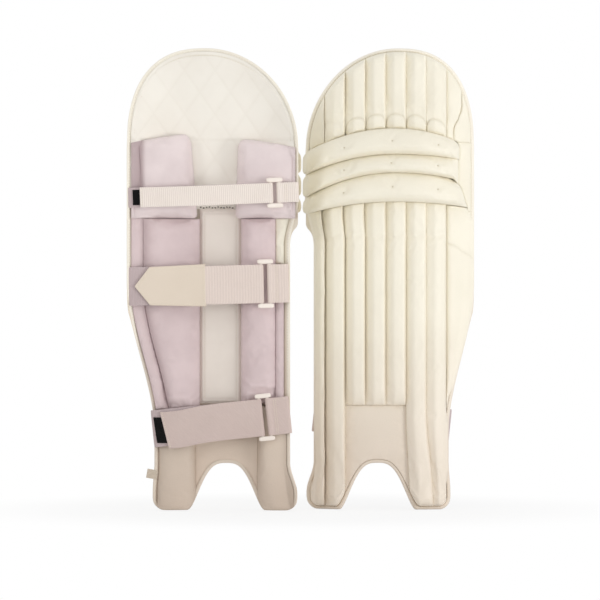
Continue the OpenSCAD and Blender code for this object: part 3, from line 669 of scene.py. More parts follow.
def bolster_right(z):
    """Outer edge of the wing-side bolster, which follows the wing as it narrows."""
    return np.minimum(BOLSTER_X[3], wing_edge(z, 24.0))


def shape_shin_bolsters():
    """Two long pillows beside the shin bone, pressed in under the ankle buckle and strap; the wing-side
    one runs down behind the strap and is shaded along its outer seam."""
    def under_buckle(x, z, u, v):
        """Pressed in 4.5 mm behind the ankle buckle, by smooth steps."""
        return 4.5 * ease((190.0 - z) / 12.0) * ease((-48.0 - x) / 12.0)

    def under_strap(x, z, u, v):
        """Pressed in 4.5 mm behind the ankle strap, by smooth steps."""
        return 4.5 * ease((172.0 - z) / 14.0) * ease((x - 30.0) / 20.0)

    def outer_seam(x, z, u, v):
        """Shade along the outer seam, as a bell."""
        return 2.4 * bell(46.0 * (1.0 - u), 5.0)

    def form(u, v):
        """A soft hump across, rounded at both ends, a little uneven."""
        return (mix(0.45, 1.0, plump(u, 4.0) * rounded(v, 0.06))
                * (1.0 + 0.025 * wander(2.5 * u, 9.0 * v, 5.0)))

    pillows = ((level(BOLSTER_X[0]), level(BOLSTER_X[1]), BOLSTER_LOW, under_buckle, None),
               (level(BOLSTER_X[2]), bolster_right, STRAP_TUCK, under_strap, outer_seam))
    for left, right, low, dent, crease in pillows:
        edges = (left, right, level(low), level(CUSHION_LOW - SEAM))
        back_lobe("shin_bolsters", edges, (low, CUSHION_LOW), (close_steps(28), close_steps(104)), strap=1,
                  base=BACK_0, crown=26.0, form=form, dent=dent, crease=crease, grow=0.02, cap=1.6)


def shape_side_rolls():
    """Narrow rolls outside the bolsters; the top of the loop-side one is faced in cream and lies
    flatter."""
    def inner_seam(x, z, u, v):
        """Shade along the seam beside the bolster, as a bell."""
        return 1.6 * bell(19.0 * u, 4.0)

    def form(u, v):
        """A soft hump across, rounded at both ends."""
        return mix(0.5, 1.0, plump(u, 2.4) * rounded(v, 0.06))

    top = CUSHION_LOW - SEAM
    loop_side = (drawn(inner_edge, 9.0), level(BOLSTER_X[0] - SEAM))
    wing_side = (lambda z: bolster_right(z) + 2.0 * SEAM, lambda z: np.minimum(BACK_REACH, wing_edge(z, 5.0)))
    for sides, low, high, crown, slot, crease in ((loop_side, BOLSTER_LOW, 372.0, 13.0, 0, None),
                                                  (loop_side, 372.6, top, 8.0, 1, None),
                                                  (wing_side, STRAP_TUCK + 2.0, top, 13.0, 0, inner_seam)):
        grid = (close_steps(12), close_steps(int((high - low) / 2.7)))
        back_lobe("side_rolls", (*sides, level(low), level(high)), (low, high), grid, strap=1, base=BACK_0,
                  crown=crown, form=form, crease=crease, grow=0.02, cap=1.2, slot=slot)


def shape_foot_rolls():
    """Two faced rolls behind the feet, cut off square at the floor edge and shaded to their sides."""
    def form(u, v):
        """A rounded oval across, rounded down at the top."""
        return arch(u, 2.6) * mix(0.2, 1.0, rounded(np.maximum(v, 0.5), 0.1))

    def side_shade(x, z, u, v):
        """Shade that grows with the fourth power of the way to each side."""
        return 0.6 * np.abs(2.0 * u - 1.0) ** 4

    for left, right, top in ((drawn(inner_edge, 5.0), level(-64.0), INSTEP_TOP),
                             (level(29.0), drawn(wing_edge, 6.5), STRAP_TUCK - 0.5)):
        grid = (close_steps(24), close_steps(60))
        back_lobe("foot_rolls", (left, right, foot_z, level(top)), (0.0, top), grid, strap=2, base=BACK_0,
                  crown=22.0, form=form, crease=side_shade, grow=0.01, cap=1.2)


# how the cloth of the stuffed sheets behaves while it is blown up
CLOTH = {"quality": 5, "mass": 0.2, "tension_stiffness": 25.0, "compression_stiffness": 25.0,
         "shear_stiffness": 10.0, "bending_stiffness": 0.15, "tension_damping": 20.0,
         "compression_damping": 20.0, "air_damping": 8.0, "use_pressure": True, "uniform_pressure_force": 4.0,
         "vertex_group_mass": "sewn"}


def blown_sheet(lobe, frames):
    """A lobe's crown sheet as cloth: held at its seams, cut a little larger than they are, pressed from
    inside."""
    rows, cols = lobe["crown"].shape[:2]
    at = np.arange(rows * cols).reshape(rows, cols)
    faces = np.stack([at[:-1, :-1], at[:-1, 1:], at[1:, 1:], at[1:, :-1]], -1).reshape(-1, 4)
    if lobe["to_back"]:
        faces = faces[:, ::-1]
    mesh = bpy.data.meshes.new("blown_sheet")
    mesh.from_pydata((lobe["crown"].reshape(-1, 3) * MM).tolist(), [], faces.tolist())
    obj = bpy.data.objects.new("blown_sheet", mesh)
    bpy.context.scene.collection.objects.link(obj)
    obj.vertex_groups.new(name="sewn").add(np.flatnonzero(lobe["pins"].ravel()).tolist(), 1.0, "REPLACE")
    cloth = obj.modifiers.new("cloth", "CLOTH")
    for key, value in CLOTH.items():
        setattr(cloth.settings, key, value)
    cloth.settings.effector_weights.gravity = 0.0
    cloth.settings.shrink_min = -lobe["grow"]
    cloth.point_cache.frame_start, cloth.point_cache.frame_end = 1, frames
    return obj


def inflate(lobes, frames=20):
    """Cloth simulation of every stuffed sheet at once; a point's move is then held to its lobe's cap, by
    the cap times the hyperbolic tangent of the move over the cap."""
    scene = bpy.context.scene
    made = [blown_sheet(lobe, frames) for lobe in lobes]
    for number in range(1, frames + 1):
        scene.frame_set(number)
    graph = bpy.context.evaluated_depsgraph_get()
    for lobe, obj in zip(lobes, made):
        blown = obj.evaluated_get(graph).to_mesh()
        place = np.empty(len(blown.vertices) * 3)
        blown.vertices.foreach_get("co", place)
        move = place.reshape(lobe["crown"].shape) * PER_METRE - lobe["crown"]
        size = np.linalg.norm(move, axis=-1, keepdims=True)
        held = lobe["cap"] * np.tanh(size / lobe["cap"]) / np.maximum(size, 1e-6)
        lobe["crown"] = lobe["crown"] + move * held
    for obj in made:
        mesh = obj.data
        bpy.data.objects.remove(obj)
        bpy.data.meshes.remove(mesh)
    scene.frame_set(1)


def lobe_skin(lobe):
    """Closed skin of one lobe, with painted shade that darkens it towards its seams and along its creases."""
    dark = np.maximum(np.exp(-rim_distance(lobe["crown"]) / 2.0), lobe["mark"])
    pair = (lobe["base"], lobe["crown"]) if lobe["to_back"] else (lobe["crown"], lobe["base"])
    made = skin(pair[0], pair[1], dark)
    made["slot"] = lobe["slot"]
    return made


# flat pieces
def core_skin():
    """The faced foam sheet: the pad's outline, 6 mm thick."""
    edges = (inner_edge, wing_edge, foot_z, dome_z)
    x, z = spots(edges, (0.0, PAD_HEIGHT), close_steps(90), close_steps(150))[:2]
    return skin(on_sheet(x, z, np.zeros_like(x)), on_sheet(x, z, np.full_like(x, CORE_T)))


def quilt(x, z, pitch=38.0):
    """Diamond quilting: pillows between two sets of slanted lines a pitch apart, and how near the lines
    are."""
    a, b = (0.82 * x + 0.57 * z) / pitch, (0.82 * x - 0.57 * z) / pitch
    pillow = np.abs(np.sin(np.pi * a) * np.sin(np.pi * b)) ** 0.4
    near = np.minimum(np.abs(a - np.round(a)), np.abs(b - np.round(b))) * pitch
    return pillow, np.exp(-near / 1.4)


def lining_skin(inset=4.9):
    """Quilted lining behind the top hat and knee: pillows 0.7 mm high, a yoke seam, and a pressed rim, with
    painted shade along the quilting lines and in the pressed rim."""
    edges = (drawn(inner_edge, inset), drawn(wing_edge, inset), level(HEM_Z), drawn(dome_z, inset))
    x, z = spots(edges, (HEM_Z, PAD_HEIGHT), close_steps(140), close_steps(140))[:2]
    pillow, near = quilt(x, z)
    flat = on_sheet(x, z, np.full_like(x, BACK_0))
    rim = rim_distance(flat)
    inside, yoke, pressed = ease(rim / 9.0), bell(z - 560.0, 1.5), bell(rim - 5.5, 1.6)
    out = BACK_0 + 1.2 + inside * (0.8 + 0.7 * pillow) - 0.9 * yoke - 0.6 * pressed
    # painted shade along the quilting lines and in the pressed groove of the rim
    shade = np.maximum(0.34 * near * inside, 0.4 * pressed)
    return skin(flat, on_sheet(x, z, np.maximum(BACK_0 + 0.4, out)), shade)


def panel_skin():
    """Flat lining strip down the middle of the shin, with a soft rolled hem along both sides and painted
    shade along the hems.
    """
    edges = (level(BOLSTER_X[1] + SEAM), level(BOLSTER_X[2] - SEAM), level(BOLSTER_LOW), level(HEM_Z - SEAM))
    x, z = spots(edges, (BOLSTER_LOW, HEM_Z), close_steps(30), close_steps(110))[:2]
    flat = on_sheet(x, z, np.full_like(x, BACK_0))
    rim = rim_distance(flat)
    hem, uneven = 0.7 * bell(rim - 7.0, 1.1), 0.25 * wander(x / 14.0, z / 20.0)
    out = BACK_0 + 4.0 + 4.0 * ease(rim / 5.0) - hem + uneven
    # the last argument is painted shade along the hems
    return skin(flat, on_sheet(x, z, out), 0.6 * bell(rim - 7.0, 1.6))


def outline(k, n=120):
    """The pad's outline drawn in by k, as a loop: up the loop side, over the dome, down the wing, round
    the feet."""
    t = steps(n)
    up, turn = mix(CORNER_R, SPRING_Z, t), close_steps(n)[1:-1]
    over = mix(inner_edge(SPRING_Z, k), wing_edge(SPRING_Z, k), turn)
    under = mix(wing_edge(0.0, k), inner_edge(0.0, k), turn)
    x = np.concatenate([inner_edge(up, k), over, wing_edge(up[::-1], k), under])
    z = np.concatenate([up, dome_z(over, k), up[::-1], foot_z(under, k)])
    return np.stack([x, z], -1)


def binding_skin():
    """Edge binding: a rounded strip folded round the rim of the foam sheet, carried along the outline.
    Each point of its profile is how far it is drawn in and how far out it lies."""
    profile = ((5.0, -0.7), (5.0, -2.6), (4.4, -3.7), (2.6, -4.3), (0.8, -3.4), (-0.3, -1.2), (-0.6, 2.0),
               (-0.4, 5.0), (0.4, 6.8), (1.8, 7.6), (3.4, 7.7), (4.6, 7.4), (4.7, 6.3), (2.4, 6.2),
               (0.4, 5.8), (0.2, 3.0), (0.4, 0.2), (2.4, -0.2))
    rings = []
    for draw, out in profile:
        ring = outline(draw)
        rings.append(on_sheet(ring[:, 0], np.maximum(0.0, ring[:, 1]), np.full(len(ring), out)))
    return ring_band(np.stack(rings, 1))


def tab_skin(reach):
    """Small woven tab tucked in at the wing-side foot edge: a thin strip that leans up and curls a
    little."""
    root, length = wing_edge(TAB_Z, TAB_TUCK), TAB_TUCK + reach
    s, w = np.meshgrid(steps(14) * length, steps(10) * (2.0 * TAB_HALF) - TAB_HALF)
    slope = 3.0 * SHEET_BACK * root ** 2 / SHEET_HALF ** 3
    turn, lean = math.atan(slope), math.radians(10.0)
    curl = 0.8 * (s / length) ** 2
    up = w * math.cos(lean) + s * math.sin(lean)
    run = s * math.cos(lean) - w * math.sin(lean)
    base = np.array([root, sheet_y(root, TAB_Z) + BACK_0 + 1.0, TAB_Z])

    def layer(out):
        """One face of the tab, out from its middle and thinner at its edges."""
        y = out * np.sqrt(np.maximum(0.1, 1.0 - np.abs(w / TAB_HALF) ** 8)) + curl
        across = run * math.cos(turn) - y * math.sin(turn)
        back = run * math.sin(turn) + y * math.cos(turn)
        return np.stack([across, back, up], -1) + base
    return skin(layer(-TAB_T), layer(TAB_T))


# straps and buckles
def at_buckle(i, points):
    """Strap i's own frame put on the pad: X tilted down to the wing side, turned to the strap's line, at
    its buckle."""
    tilt = math.radians(STRAP_TILT[i])
    yaw = math.atan((WING_Y[i] - LOOP_Y[i]) / (WING_X[i] - LOOP_X[i]))
    x, y, z = points[..., 0], points[..., 1], points[..., 2]
    run, up = x * math.cos(tilt) + z * math.sin(tilt), z * math.cos(tilt) - x * math.sin(tilt)
    return np.stack([run * math.cos(yaw) - y * math.sin(yaw) + BUCKLE_X[i],
                     run * math.sin(yaw) + y * math.cos(yaw) + chord_y(i, BUCKLE_X[i]), up + BUCKLE_Z[i]], -1)


def droop(i, x):
    """How far strap i sinks across its length: the ankle strap by a bell near its free end, the others
    hardly, by half a sine wave."""
    if i == 2:
        return -4.5 * bell(x - 138.0, 36.0)
    deep, length = ((-0.6, 210.0), (-0.5, 200.0))[i]
    return deep * np.sin(np.pi * np.clip(x / length, 0.0, 1.0))


def arc(centre, radius, start, stop, n=20):
    """Points on a circle from one angle to another, in degrees."""
    t = np.radians(np.linspace(start, stop, n))
    return np.stack([centre[0] + radius * np.cos(t), centre[1] + radius * np.sin(t)], -1)


def evenly(path, pitch):
    """A path set out again at an even pitch along its length."""
    run = along(path[:, None], 0)[:, 0]
    at = np.linspace(0.0, run[-1], max(3, int(run[-1] / pitch) + 1))
    return np.stack([np.interp(at, run, path[:, k]) for k in range(path.shape[1])], -1)


def smooth(path, turns=4):
    """A path with its corners cut: each turn puts points a quarter and three quarters along every
    step."""
    for _ in range(turns):
        near, far = 0.75 * path[:-1] + 0.25 * path[1:], 0.25 * path[:-1] + 0.75 * path[1:]
        path = np.concatenate([path[:1], np.stack([near, far], 1).reshape(-1, path.shape[1]), path[-1:]])
    return path


def ribbon(i, path, width, thick, sag=True, pitch=1.6, slant=0.0):
    """Webbing along a flat path (x, y): carried across its width, with rounded selvedges; its end may
    slant."""
    path = evenly(path, pitch)
    lean = np.gradient(path, axis=0)
    lean /= np.linalg.norm(lean, axis=1, keepdims=True)
    normal = np.stack([-lean[:, 1], lean[:, 0]], -1)
    w = close_steps(16) * 2.0 - 1.0
    half = thick / 2.0 * np.sqrt(np.maximum(0.12, 1.0 - np.abs(w) ** 12))
    drop = droop(i, path[:, 0]) if sag else np.zeros(len(path))
    skew = slant * ease((path[:, :1] - path[-1, 0] + 24.0) / 24.0) * w
    skew = np.stack([skew, 0.0 * skew], -1)

    def layer(sign):
        """One face of the webbing, half its thickness out along the path's normals."""
        place = path[:, None] + sign * normal[:, None] * half[None, :, None] + skew
        up = width / 2.0 * w[None, :] + drop[:, None]
        return at_buckle(i, np.concatenate([place, np.broadcast_to(up, place.shape[:2])[..., None]], -1))
    return skin(layer(1.0), layer(-1.0))


def strap_skin(i):
    """Upper layer of strap i: half round the buckle's inner bar, then straight over the lower layer."""
    path = np.concatenate([arc((BAR_X, 0.0), WRAP_R, 270.0, 90.0), [[STRAP_END[i], WRAP_R]]])
    return ribbon(i, path, STRAP_W[i], WEB_T, slant=STRAP_SLANT[i])


def run_skin(i):
    """Lower layer of strap i: from beside the buckle to the wing edge, where it bends down to its sewn
    end."""
    end, foot = RUN_END[i] - BUCKLE_X[i], RUN_FOOT[i]
    low = sheet_y(foot, BUCKLE_Z[i]) + BACK_0 + 0.9 - chord_y(i, foot)
    sewn = foot - BUCKLE_X[i]
    path = np.array([[BAR_X + 4.85, -0.3], [end - 14.0, -0.3], [end - 4.0, -0.6], [end - 1.2, -2.0],
                     [end - 1.6, 0.5 * low], [sewn + 1.0, low], [sewn - 5.0, low]])
    return ribbon(i, smooth(path), STRAP_W[i], WEB_T, sag=False)


def anchor_skin(i):
    """Short webbing at the loop side: down at the pad's edge, out to the buckle, round its outer bar and
    back."""
    root = ANCHOR_ROOT[i]
    low = sheet_y(root, BUCKLE_Z[i]) + BACK_0 + 0.8 - chord_y(i, root)
    x = root - BUCKLE_X[i]
    over = np.array([[x + 3.0, low], [x - 2.6, low + 0.2], [x - 2.8, -0.4], [x + 2.5, 0.62],
                     [-14.5, 0.62], [-11.2, 1.2]])
    under = np.array([[-11.2, -1.2], [-14.5, -0.62], [x + 4.0, -0.62], [x + 1.0, 0.55 * low],
                      [x + 4.0, low + 1.3]])
    path = np.concatenate([smooth(over), arc((-BAR_X, 0.0), WRAP_R, 135.0, -135.0, 28), smooth(under)])
    return ribbon(i, path, STRAP_W[i], ANCHOR_T, sag=False, pitch=1.2)


def rounded_box(centre, half, sharp, n=24):
    """Squared-off sphere: the signed power, below one, of a sphere's cosines and sines times the half
    sizes."""
    def power(t):
        """The power of a number's size, with the number's own sign."""
        return np.sign(t) * np.abs(t) ** sharp
    pole = 0.497 * np.pi
    up, turn = np.linspace(-pole, pole, n), np.linspace(0.0, 2.0 * np.pi, 2 * n, endpoint=False)
    lat, lon = np.meshgrid(up, turn, indexing="ij")
    points = np.stack([half[0] * power(np.sin(lat)), half[1] * power(np.cos(lat)) * power(np.cos(lon)),
                       half[2] * power(np.cos(lat)) * power(np.sin(lon))], -1)
    return tube(points + np.array(centre))


def buckle_skin(i, rows=14, around=24):
    """Moulded buckle: two round bars, and two rails as rounded boxes, each a squared-off sphere."""
    tall = STRAP_W[i] + 2.0
    turn = np.linspace(0.0, 2.0 * np.pi, around, endpoint=False)
    parts = []
    for x in (-BAR_X, BAR_X):
        z = np.linspace(-tall / 2.0 - 1.0, tall / 2.0 + 1.0, rows)
        ring = np.stack([x + BAR_R * np.cos(turn), BAR_R * np.sin(turn)], -1)
        rings = np.concatenate([np.broadcast_to(ring, (rows,) + ring.shape),
                                np.broadcast_to(z[:, None, None], (rows, around, 1))], -1)
        parts.append(tube(rings))
    for z in (-tall / 2.0 - 3.3, tall / 2.0 + 3.3):
        parts.append(rounded_box((0.0, 0.0, z), (12.2, 3.3, 3.5), 0.45))
    for part in parts:
        part["points"] = at_buckle(i, part["points"])
    return together(parts)


def plate(i, start, stop, low, high, inner, outer, rows=40, cols=24, lean=0.0):
    """Thin plate in strap i's frame between two edge lines (functions of x), with softened rims that carry
    painted shade; its end may lean."""
    s, u = np.meshgrid(close_steps(rows), close_steps(cols), indexing="ij")
    x = mix(start, stop + lean * (2.0 * u - 1.0), s)
    z = mix(low(x), high(x), u) + droop(i, x)
    across, length = np.abs(high(x) - low(x)), stop - start
    rim = np.minimum(np.minimum(u, 1.0 - u) * across, np.minimum(s, 1.0 - s) * length)
    soft = ease(rim / 1.2)
    mid = 0.5 * (inner + outer)
    back = at_buckle(i, np.stack([x, np.full_like(x, inner), z], -1))
    front = at_buckle(i, np.stack([x, mix(mid, outer, soft), z], -1))
    # the rims carry painted shade
    return skin(back, front, 1.0 - soft)


def hook_skin(i):
    """Hook fastener under the end of strap i, its outer end cut square at the knee and slanted at the
    ankle."""
    start, out, width, skew = {0: (180.0, 11.0, 23.0, 0.0), 2: (130.0, 14.0, 39.0, 1.0)}[i]
    stop = STRAP_END[i] + out
    return plate(i, start, stop, level(-width / 2.0), level(width / 2.0), *HOOK_Y, lean=skew)


def patch_edge(x, sign):
    """Half width of the calf strap's end patch: 32 mm, narrowing by 3 mm, then in to a blunt point."""
    body = 32.0 - 3.0 * np.clip((x - STRAP_END[1]) / (PATCH_TURN - STRAP_END[1]), 0.0, 1.0)
    return sign * np.minimum(body, 0.8 + (PATCH_TIP - x) * 29.0 / (PATCH_TIP - PATCH_TURN))


def patch_skin():
    """Pointed end patch of the calf strap."""
    low, high = drawn(patch_edge, -1.0), drawn(patch_edge, 1.0)
    return plate(1, PATCH_X, PATCH_TIP, low, high, *PATCH_Y, rows=70, cols=36)


def backing_skin():
    """Hook fastener under the calf strap's end patch."""
    return plate(1, 74.0, PATCH_TURN, level(-23.2), level(23.2), *HOOK_Y)


# thread
def unit(vectors):
    """Vectors brought to a length of one."""
    return vectors / np.maximum(np.linalg.norm(vectors, axis=1, keepdims=True), 1e-9)


def stitches(path, out, pitch=4.4, length=3.0, radius=0.45):
    """Stitches along a path: each a six-sided spindle laid along it and lifted half its own
    thickness."""
    run = along(path[:, None], 0)[:, 0]
    at = np.arange(pitch / 2.0, run[-1], pitch)

    def part_way(line, s):
        """Points of a line at the running lengths s."""
        return np.stack([np.interp(s, run, line[:, k]) for k in range(3)], -1)
    centre = part_way(path, at)
    ahead = unit(part_way(path, at + 0.5) - part_way(path, at - 0.5))
    lift = part_way(np.broadcast_to(np.asarray(out, float), path.shape), at)
    lift = unit(lift - ahead * np.sum(lift * ahead, 1, keepdims=True))
    side = np.cross(ahead, lift)
    turn = np.radians(np.arange(6) * 60.0)
    reach = np.array([-1.0, -0.55, 0.55, 1.0]) * length / 2.0
    girth = np.array([0.35, 1.0, 1.0, 0.35]) * radius
    sink = np.array([-0.9, 0.2, 0.2, -0.9]) * radius
    local = np.stack([np.broadcast_to(reach[:, None], (4, 6)), girth[:, None] * np.cos(turn),
                      girth[:, None] * np.sin(turn) + sink[:, None]], -1).reshape(-1, 3)
    points = (centre[:, None] + local[None, :, :1] * ahead[:, None] + local[None, :, 1:2] * side[:, None]
              + local[None, :, 2:] * lift[:, None])
    ring = np.arange(24).reshape(4, 6)
    nxt = np.roll(ring, -1, axis=1)
    faces = np.concatenate([np.stack([ring[:-1], nxt[:-1], nxt[1:], ring[1:]], -1).reshape(-1, 4),
                            [[0, 3, 2, 1], [0, 5, 4, 3], [18, 19, 20, 21], [18, 21, 22, 23]]])
    faces = outward(local, faces)
    count = len(at)
    return {"points": points.reshape(-1, 3), "shade": np.zeros(24 * count), "flat": np.zeros((24 * count, 2)),
            "faces": (faces[None] + 24 * np.arange(count)[:, None, None]).reshape(-1, 4)}


def sheet_path(x, z, out):
    """A line of points laid on the sheet at out."""
    x, z = np.broadcast_arrays(np.asarray(x, float), np.asarray(z, float))
    return on_sheet(x, z, np.full(x.shape, out))


FRONT, BACK = (0.0, -1.0, 0.0), (0.0, 1.0, 0.0)


def valley_y(i):
    """Where the surface lies over the sheet at channel seam i."""
    return -GAP - EDGE_T - VALLEYS[i] * RIB_RISE


def front_thread():
    """Seam stitching of the ribbed face: channel seams, the instep panel's top, the wing seam and the
    binding."""
    runs = []
    for i in range(7):
        x = rib_seam(i)
        low = INSTEP_TOP if i in (2, 3) else float(foot_z(rib_seam(i, 20.0), INSET)) + 2.0
        low = max(low, 210.0) if i == 6 else low
        up = np.linspace(low + 6.0, float(knee_line(3, x)) - 8.0, 60)
        runs.append(stitches(sheet_path(rib_seam(i, up), up, valley_y(i)), FRONT))
        up = np.linspace(float(knee_line(0, x)) + 8.0, float(dome_z(x, INSET)) - 8.0, 40)
        runs.append(stitches(sheet_path(x, up, valley_y(i) - 0.1 * RIB_RISE), FRONT))
    across = np.linspace(rib_seam(1) + 2.0, rib_seam(4) - 2.0, 40)
    runs.append(stitches(sheet_path(across, INSTEP_TOP - 4.0, -5.2), FRONT))
    wing = np.linspace(90.0, 123.0, 30)
    runs.append(stitches(sheet_path(wing, wing_seam_z(wing), -7.2), FRONT))
    ring = outline(3.4, 260)
    runs.append(stitches(sheet_path(ring[:, 0], ring[:, 1], -3.9), FRONT))
    return together(runs)


def back_thread():
    """Stitching of the strap side: the shin strip's hems, the lining's rim, and the binding."""
    up = np.linspace(BOLSTER_LOW + 8.0, HEM_Z - 8.0, 60)
    runs = [stitches(sheet_path(x, up, BACK_0 + 7.4), BACK, radius=0.4) for x in (-32.4, 15.4)]
    ring = outline(10.4, 260)
    ring = ring[ring[:, 1] > 556.0]
    runs.append(stitches(sheet_path(ring[:, 0], ring[:, 1], BACK_0 + 1.7), BACK))
    ring = outline(3.2, 260)
    runs.append(stitches(sheet_path(ring[:, 0], ring[:, 1], 7.6), BACK))
    return together(runs)


def hem_thread():
    """Dark overlock stitches along the lining's hem, between the knee cushions, in a small wave."""
    across = np.linspace(-29.0, 25.0, 60)
    up = HEM_Z + 2.4 + 0.8 * np.sin(across)
    return stitches(sheet_path(across, up, BACK_0 + 2.0), BACK, pitch=5.0, length=2.8, radius=0.8)


def across_strap(i, n):
    """n heights across strap i, 2 mm inside its selvedges."""
    return np.linspace(-STRAP_W[i] / 2.0 + 2.0, STRAP_W[i] / 2.0 - 2.0, n)


def strap_thread(i):
    """A row of stitching across strap i beside its free end, or round the calf patch."""
    if i == 1:
        x = np.concatenate([np.linspace(93.5, 173.0, 30), [192.5], np.linspace(173.0, 93.5, 30), [93.5]])
        side = np.concatenate([np.full(30, 1.0), [0.0], np.full(30, -1.0), [1.0]])
        z = side * (np.abs(patch_edge(x, 1.0)) - 3.2)
        path = np.stack([x, np.full_like(x, PATCH_Y[1] + 0.02), z], -1)
    else:
        z = across_strap(i, 20)
        x = STRAP_END[i] - 3.0 + STRAP_SLANT[i] * z / 28.0
        path = np.stack([x, np.full_like(z, WRAP_R + WEB_T / 2.0), z], -1)
    path[:, 2] += droop(i, path[:, 0])
    return stitches(at_buckle(i, path), BACK, pitch=3.4, length=2.4, radius=0.35)


def anchor_thread():
    """Two rows of stitching across each anchor."""
    runs = []
    for i in range(3):
        z = across_strap(i, 24)
        for x in (-15.5, -18.5):
            place = at_buckle(i, np.stack([np.full_like(z, x), np.full_like(z, 1.2), z], -1))
            runs.append(stitches(place, BACK, pitch=3.2, length=2.3, radius=0.35))
    return together(runs)


def tie_skin():
    """Tie stitches of the knee rolls: at each tie two crossed threads pressed into the roll's dimple."""
    runs = []
    s = np.linspace(-1.6, 1.6, 6)
    for i, roll in enumerate(ROLLS):
        crown = LOBES[f"knee_roll_{roll}"][0]["crown"].reshape(-1, 3)
        for x in TIE_X:
            z = float(knee_line(i, x) + knee_line(i + 1, x)) / 2.0
            spot = crown[np.argmin((crown[:, 0] - x) ** 2 + (crown[:, 2] - z) ** 2)]
            for lean in (-1.0, 1.0):
                path = spot + np.stack([s, 0 * s - 0.3, lean * s], -1)
                runs.append(stitches(path, FRONT, pitch=4.4, length=4.0, radius=0.6))
    return together(runs)


# finishes
def colour(red, green, blue):
    """A screen colour, 0 to 255 a channel, as the shader's linear colour."""
    c = np.array([red, green, blue]) / 255.0
    c = np.where(c <= 0.04045, c / 12.92, ((c + 0.055) / 1.055) ** 2.4)
    return (*c.tolist(), 1.0)


def maths(operation, swapped=False):
    """An operator that adds a Math node; swapped turns its two sides round."""
    def added(self, other):
        pair = (other, self) if swapped else (self, other)
        return self.finish.node("ShaderNodeMath", {"operation": operation}, {0: pair[0], 1: pair[1]})
    return added


class Value:
    """A node's output. Python's operators on it add Math nodes."""

    def __init__(self, finish, socket):
        self.finish, self.socket = finish, socket

    __add__, __radd__ = maths("ADD"), maths("ADD", True)
    __sub__, __rsub__ = maths("SUBTRACT"), maths("SUBTRACT", True)
    __mul__, __rmul__ = maths("MULTIPLY"), maths("MULTIPLY", True)


class Finish:
    """A procedural material: expressions of Values feed one shader, and constants sit on its own
    sockets."""

    def __init__(self, name, **constants):
        self.material = bpy.data.materials.new(name)
        self.material.use_nodes = True
        self.tree = self.material.node_tree
        self.shader = self.tree.nodes["Principled BSDF"]
        self.set(**constants)
        self.place = self.node("ShaderNodeTexCoord", out="Object")

    def node(self, kind, settings=None, sockets=None, out=0):
        """Adds a node: its settings first, then its sockets' values or links; gives one output."""
        made = self.tree.nodes.new(kind)
        for key, value in (settings or {}).items():
            setattr(made, key, value)
        for key, value in (sockets or {}).items():
            self.feed(made.inputs[key], value)
        return Value(self, made.outputs[out])

    def feed(self, socket, value):
        """Links a Value to a socket, or sets a plain number or colour on it."""
        if isinstance(value, Value):
            self.tree.links.new(value.socket, socket)
        else:
            socket.default_value = value

    def set(self, **sockets):
        """Feeds the shader's own sockets; gives the material."""
        for key, value in sockets.items():
            self.feed(self.shader.inputs[key.replace("_", " ")], value)
        return self.material

    def part(self, axis):
        """One coordinate of the place, in metres."""
        return self.node("ShaderNodeSeparateXYZ", sockets={0: self.place}, out=axis)

    def flat(self, axis):
        """One flat coordinate of the piece, in metres along its own surface."""
        laid = self.node("ShaderNodeUVMap", {"uv_map": "flat"})
        return self.node("ShaderNodeSeparateXYZ", sockets={0: laid}, out=axis)

    def shade(self):
        """The painted shade of a point: how near a seam or a shaded crease it is, from 0 to 1."""
        return self.node("ShaderNodeAttribute", {"attribute_name": "shade"}, out="Fac")

    def noise(self, scale, detail=2.0, rough=0.5, where=None):
        """Soft mottling between 0 and 1, scale waves to a metre."""
        return self.node("ShaderNodeTexNoise", sockets={"Vector": where or self.place, "Scale": scale,
                                                        "Detail": detail, "Roughness": rough})

    def cells(self, scale):
        """Distance to the nearest of scattered points, scale to a metre."""
        return self.node("ShaderNodeTexVoronoi", {"feature": "SMOOTH_F1"},
                         {"Vector": self.place, "Scale": scale}, "Distance")

    def wave(self, value, pitch):
        """Even ridges from 0 to 1 along a coordinate, one every pitch metres."""
        turn = self.node("ShaderNodeMath", {"operation": "SINE"}, {0: value * (2.0 * math.pi / pitch)})
        return turn * 0.5 + 0.5

    def span(self, value, low, high):
        """Smooth step of a value from low to high."""
        return self.node("ShaderNodeMapRange", {"interpolation_type": "SMOOTHSTEP"},
                         {0: value, 1: low, 2: high})

    def blend(self, amount, first, second):
        """The colour that lies an amount of the way from the first to the second."""
        return self.node("ShaderNodeMix", {"data_type": "RGBA"}, {0: amount, 6: first, 7: second}, 2)

    def bump(self, height, distance, under=None, strength=1.0):
        """Normals bumped by a height, a distance in metres deep, perhaps over another bump."""
        sockets = {"Height": height, "Distance": distance, "Strength": strength}
        if under is not None:
            sockets["Normal"] = under
        return self.node("ShaderNodeBump", sockets=sockets)


def faced(name, pale, warm, deep, rough=0.46, seam=0.14):
    """Coated leather cloth: pale above and warmer to the feet, partly its own tone and partly painted shade
    for the light that falls off lower down; dull and with painted shade in the seams, with pores and soft
    creases."""
    f = Finish(name, Specular_IOR_Level=0.38)
    # darker and warmer towards the feet: partly the cloth's own tone, partly painted shade for the light
    # falling off lower down
    body = f.blend(f.span(f.part(2), 0.36, 0.02), pale, warm)
    body = f.blend(f.span(f.noise(11.0, detail=3.0), 0.35, 0.75) * 0.14, body, deep)
    # painted shade along the seams and shaded creases
    body = f.blend(f.shade() * seam, body, deep)
    pores, crease = f.cells(780.0), f.noise(48.0, detail=5.0, rough=0.6)
    body = f.blend(f.span(pores, 0.55, 0.15) * 0.05, body, deep)
    grain = f.bump(pores + f.noise(1900.0) * 0.5, 0.00012, f.bump(crease, 0.0007, strength=0.4))
    worn = rough + (f.noise(30.0) - 0.5) * 0.16 + f.shade() * 0.15
    return f.set(Base_Color=body, Roughness=worn, Normal=grain)


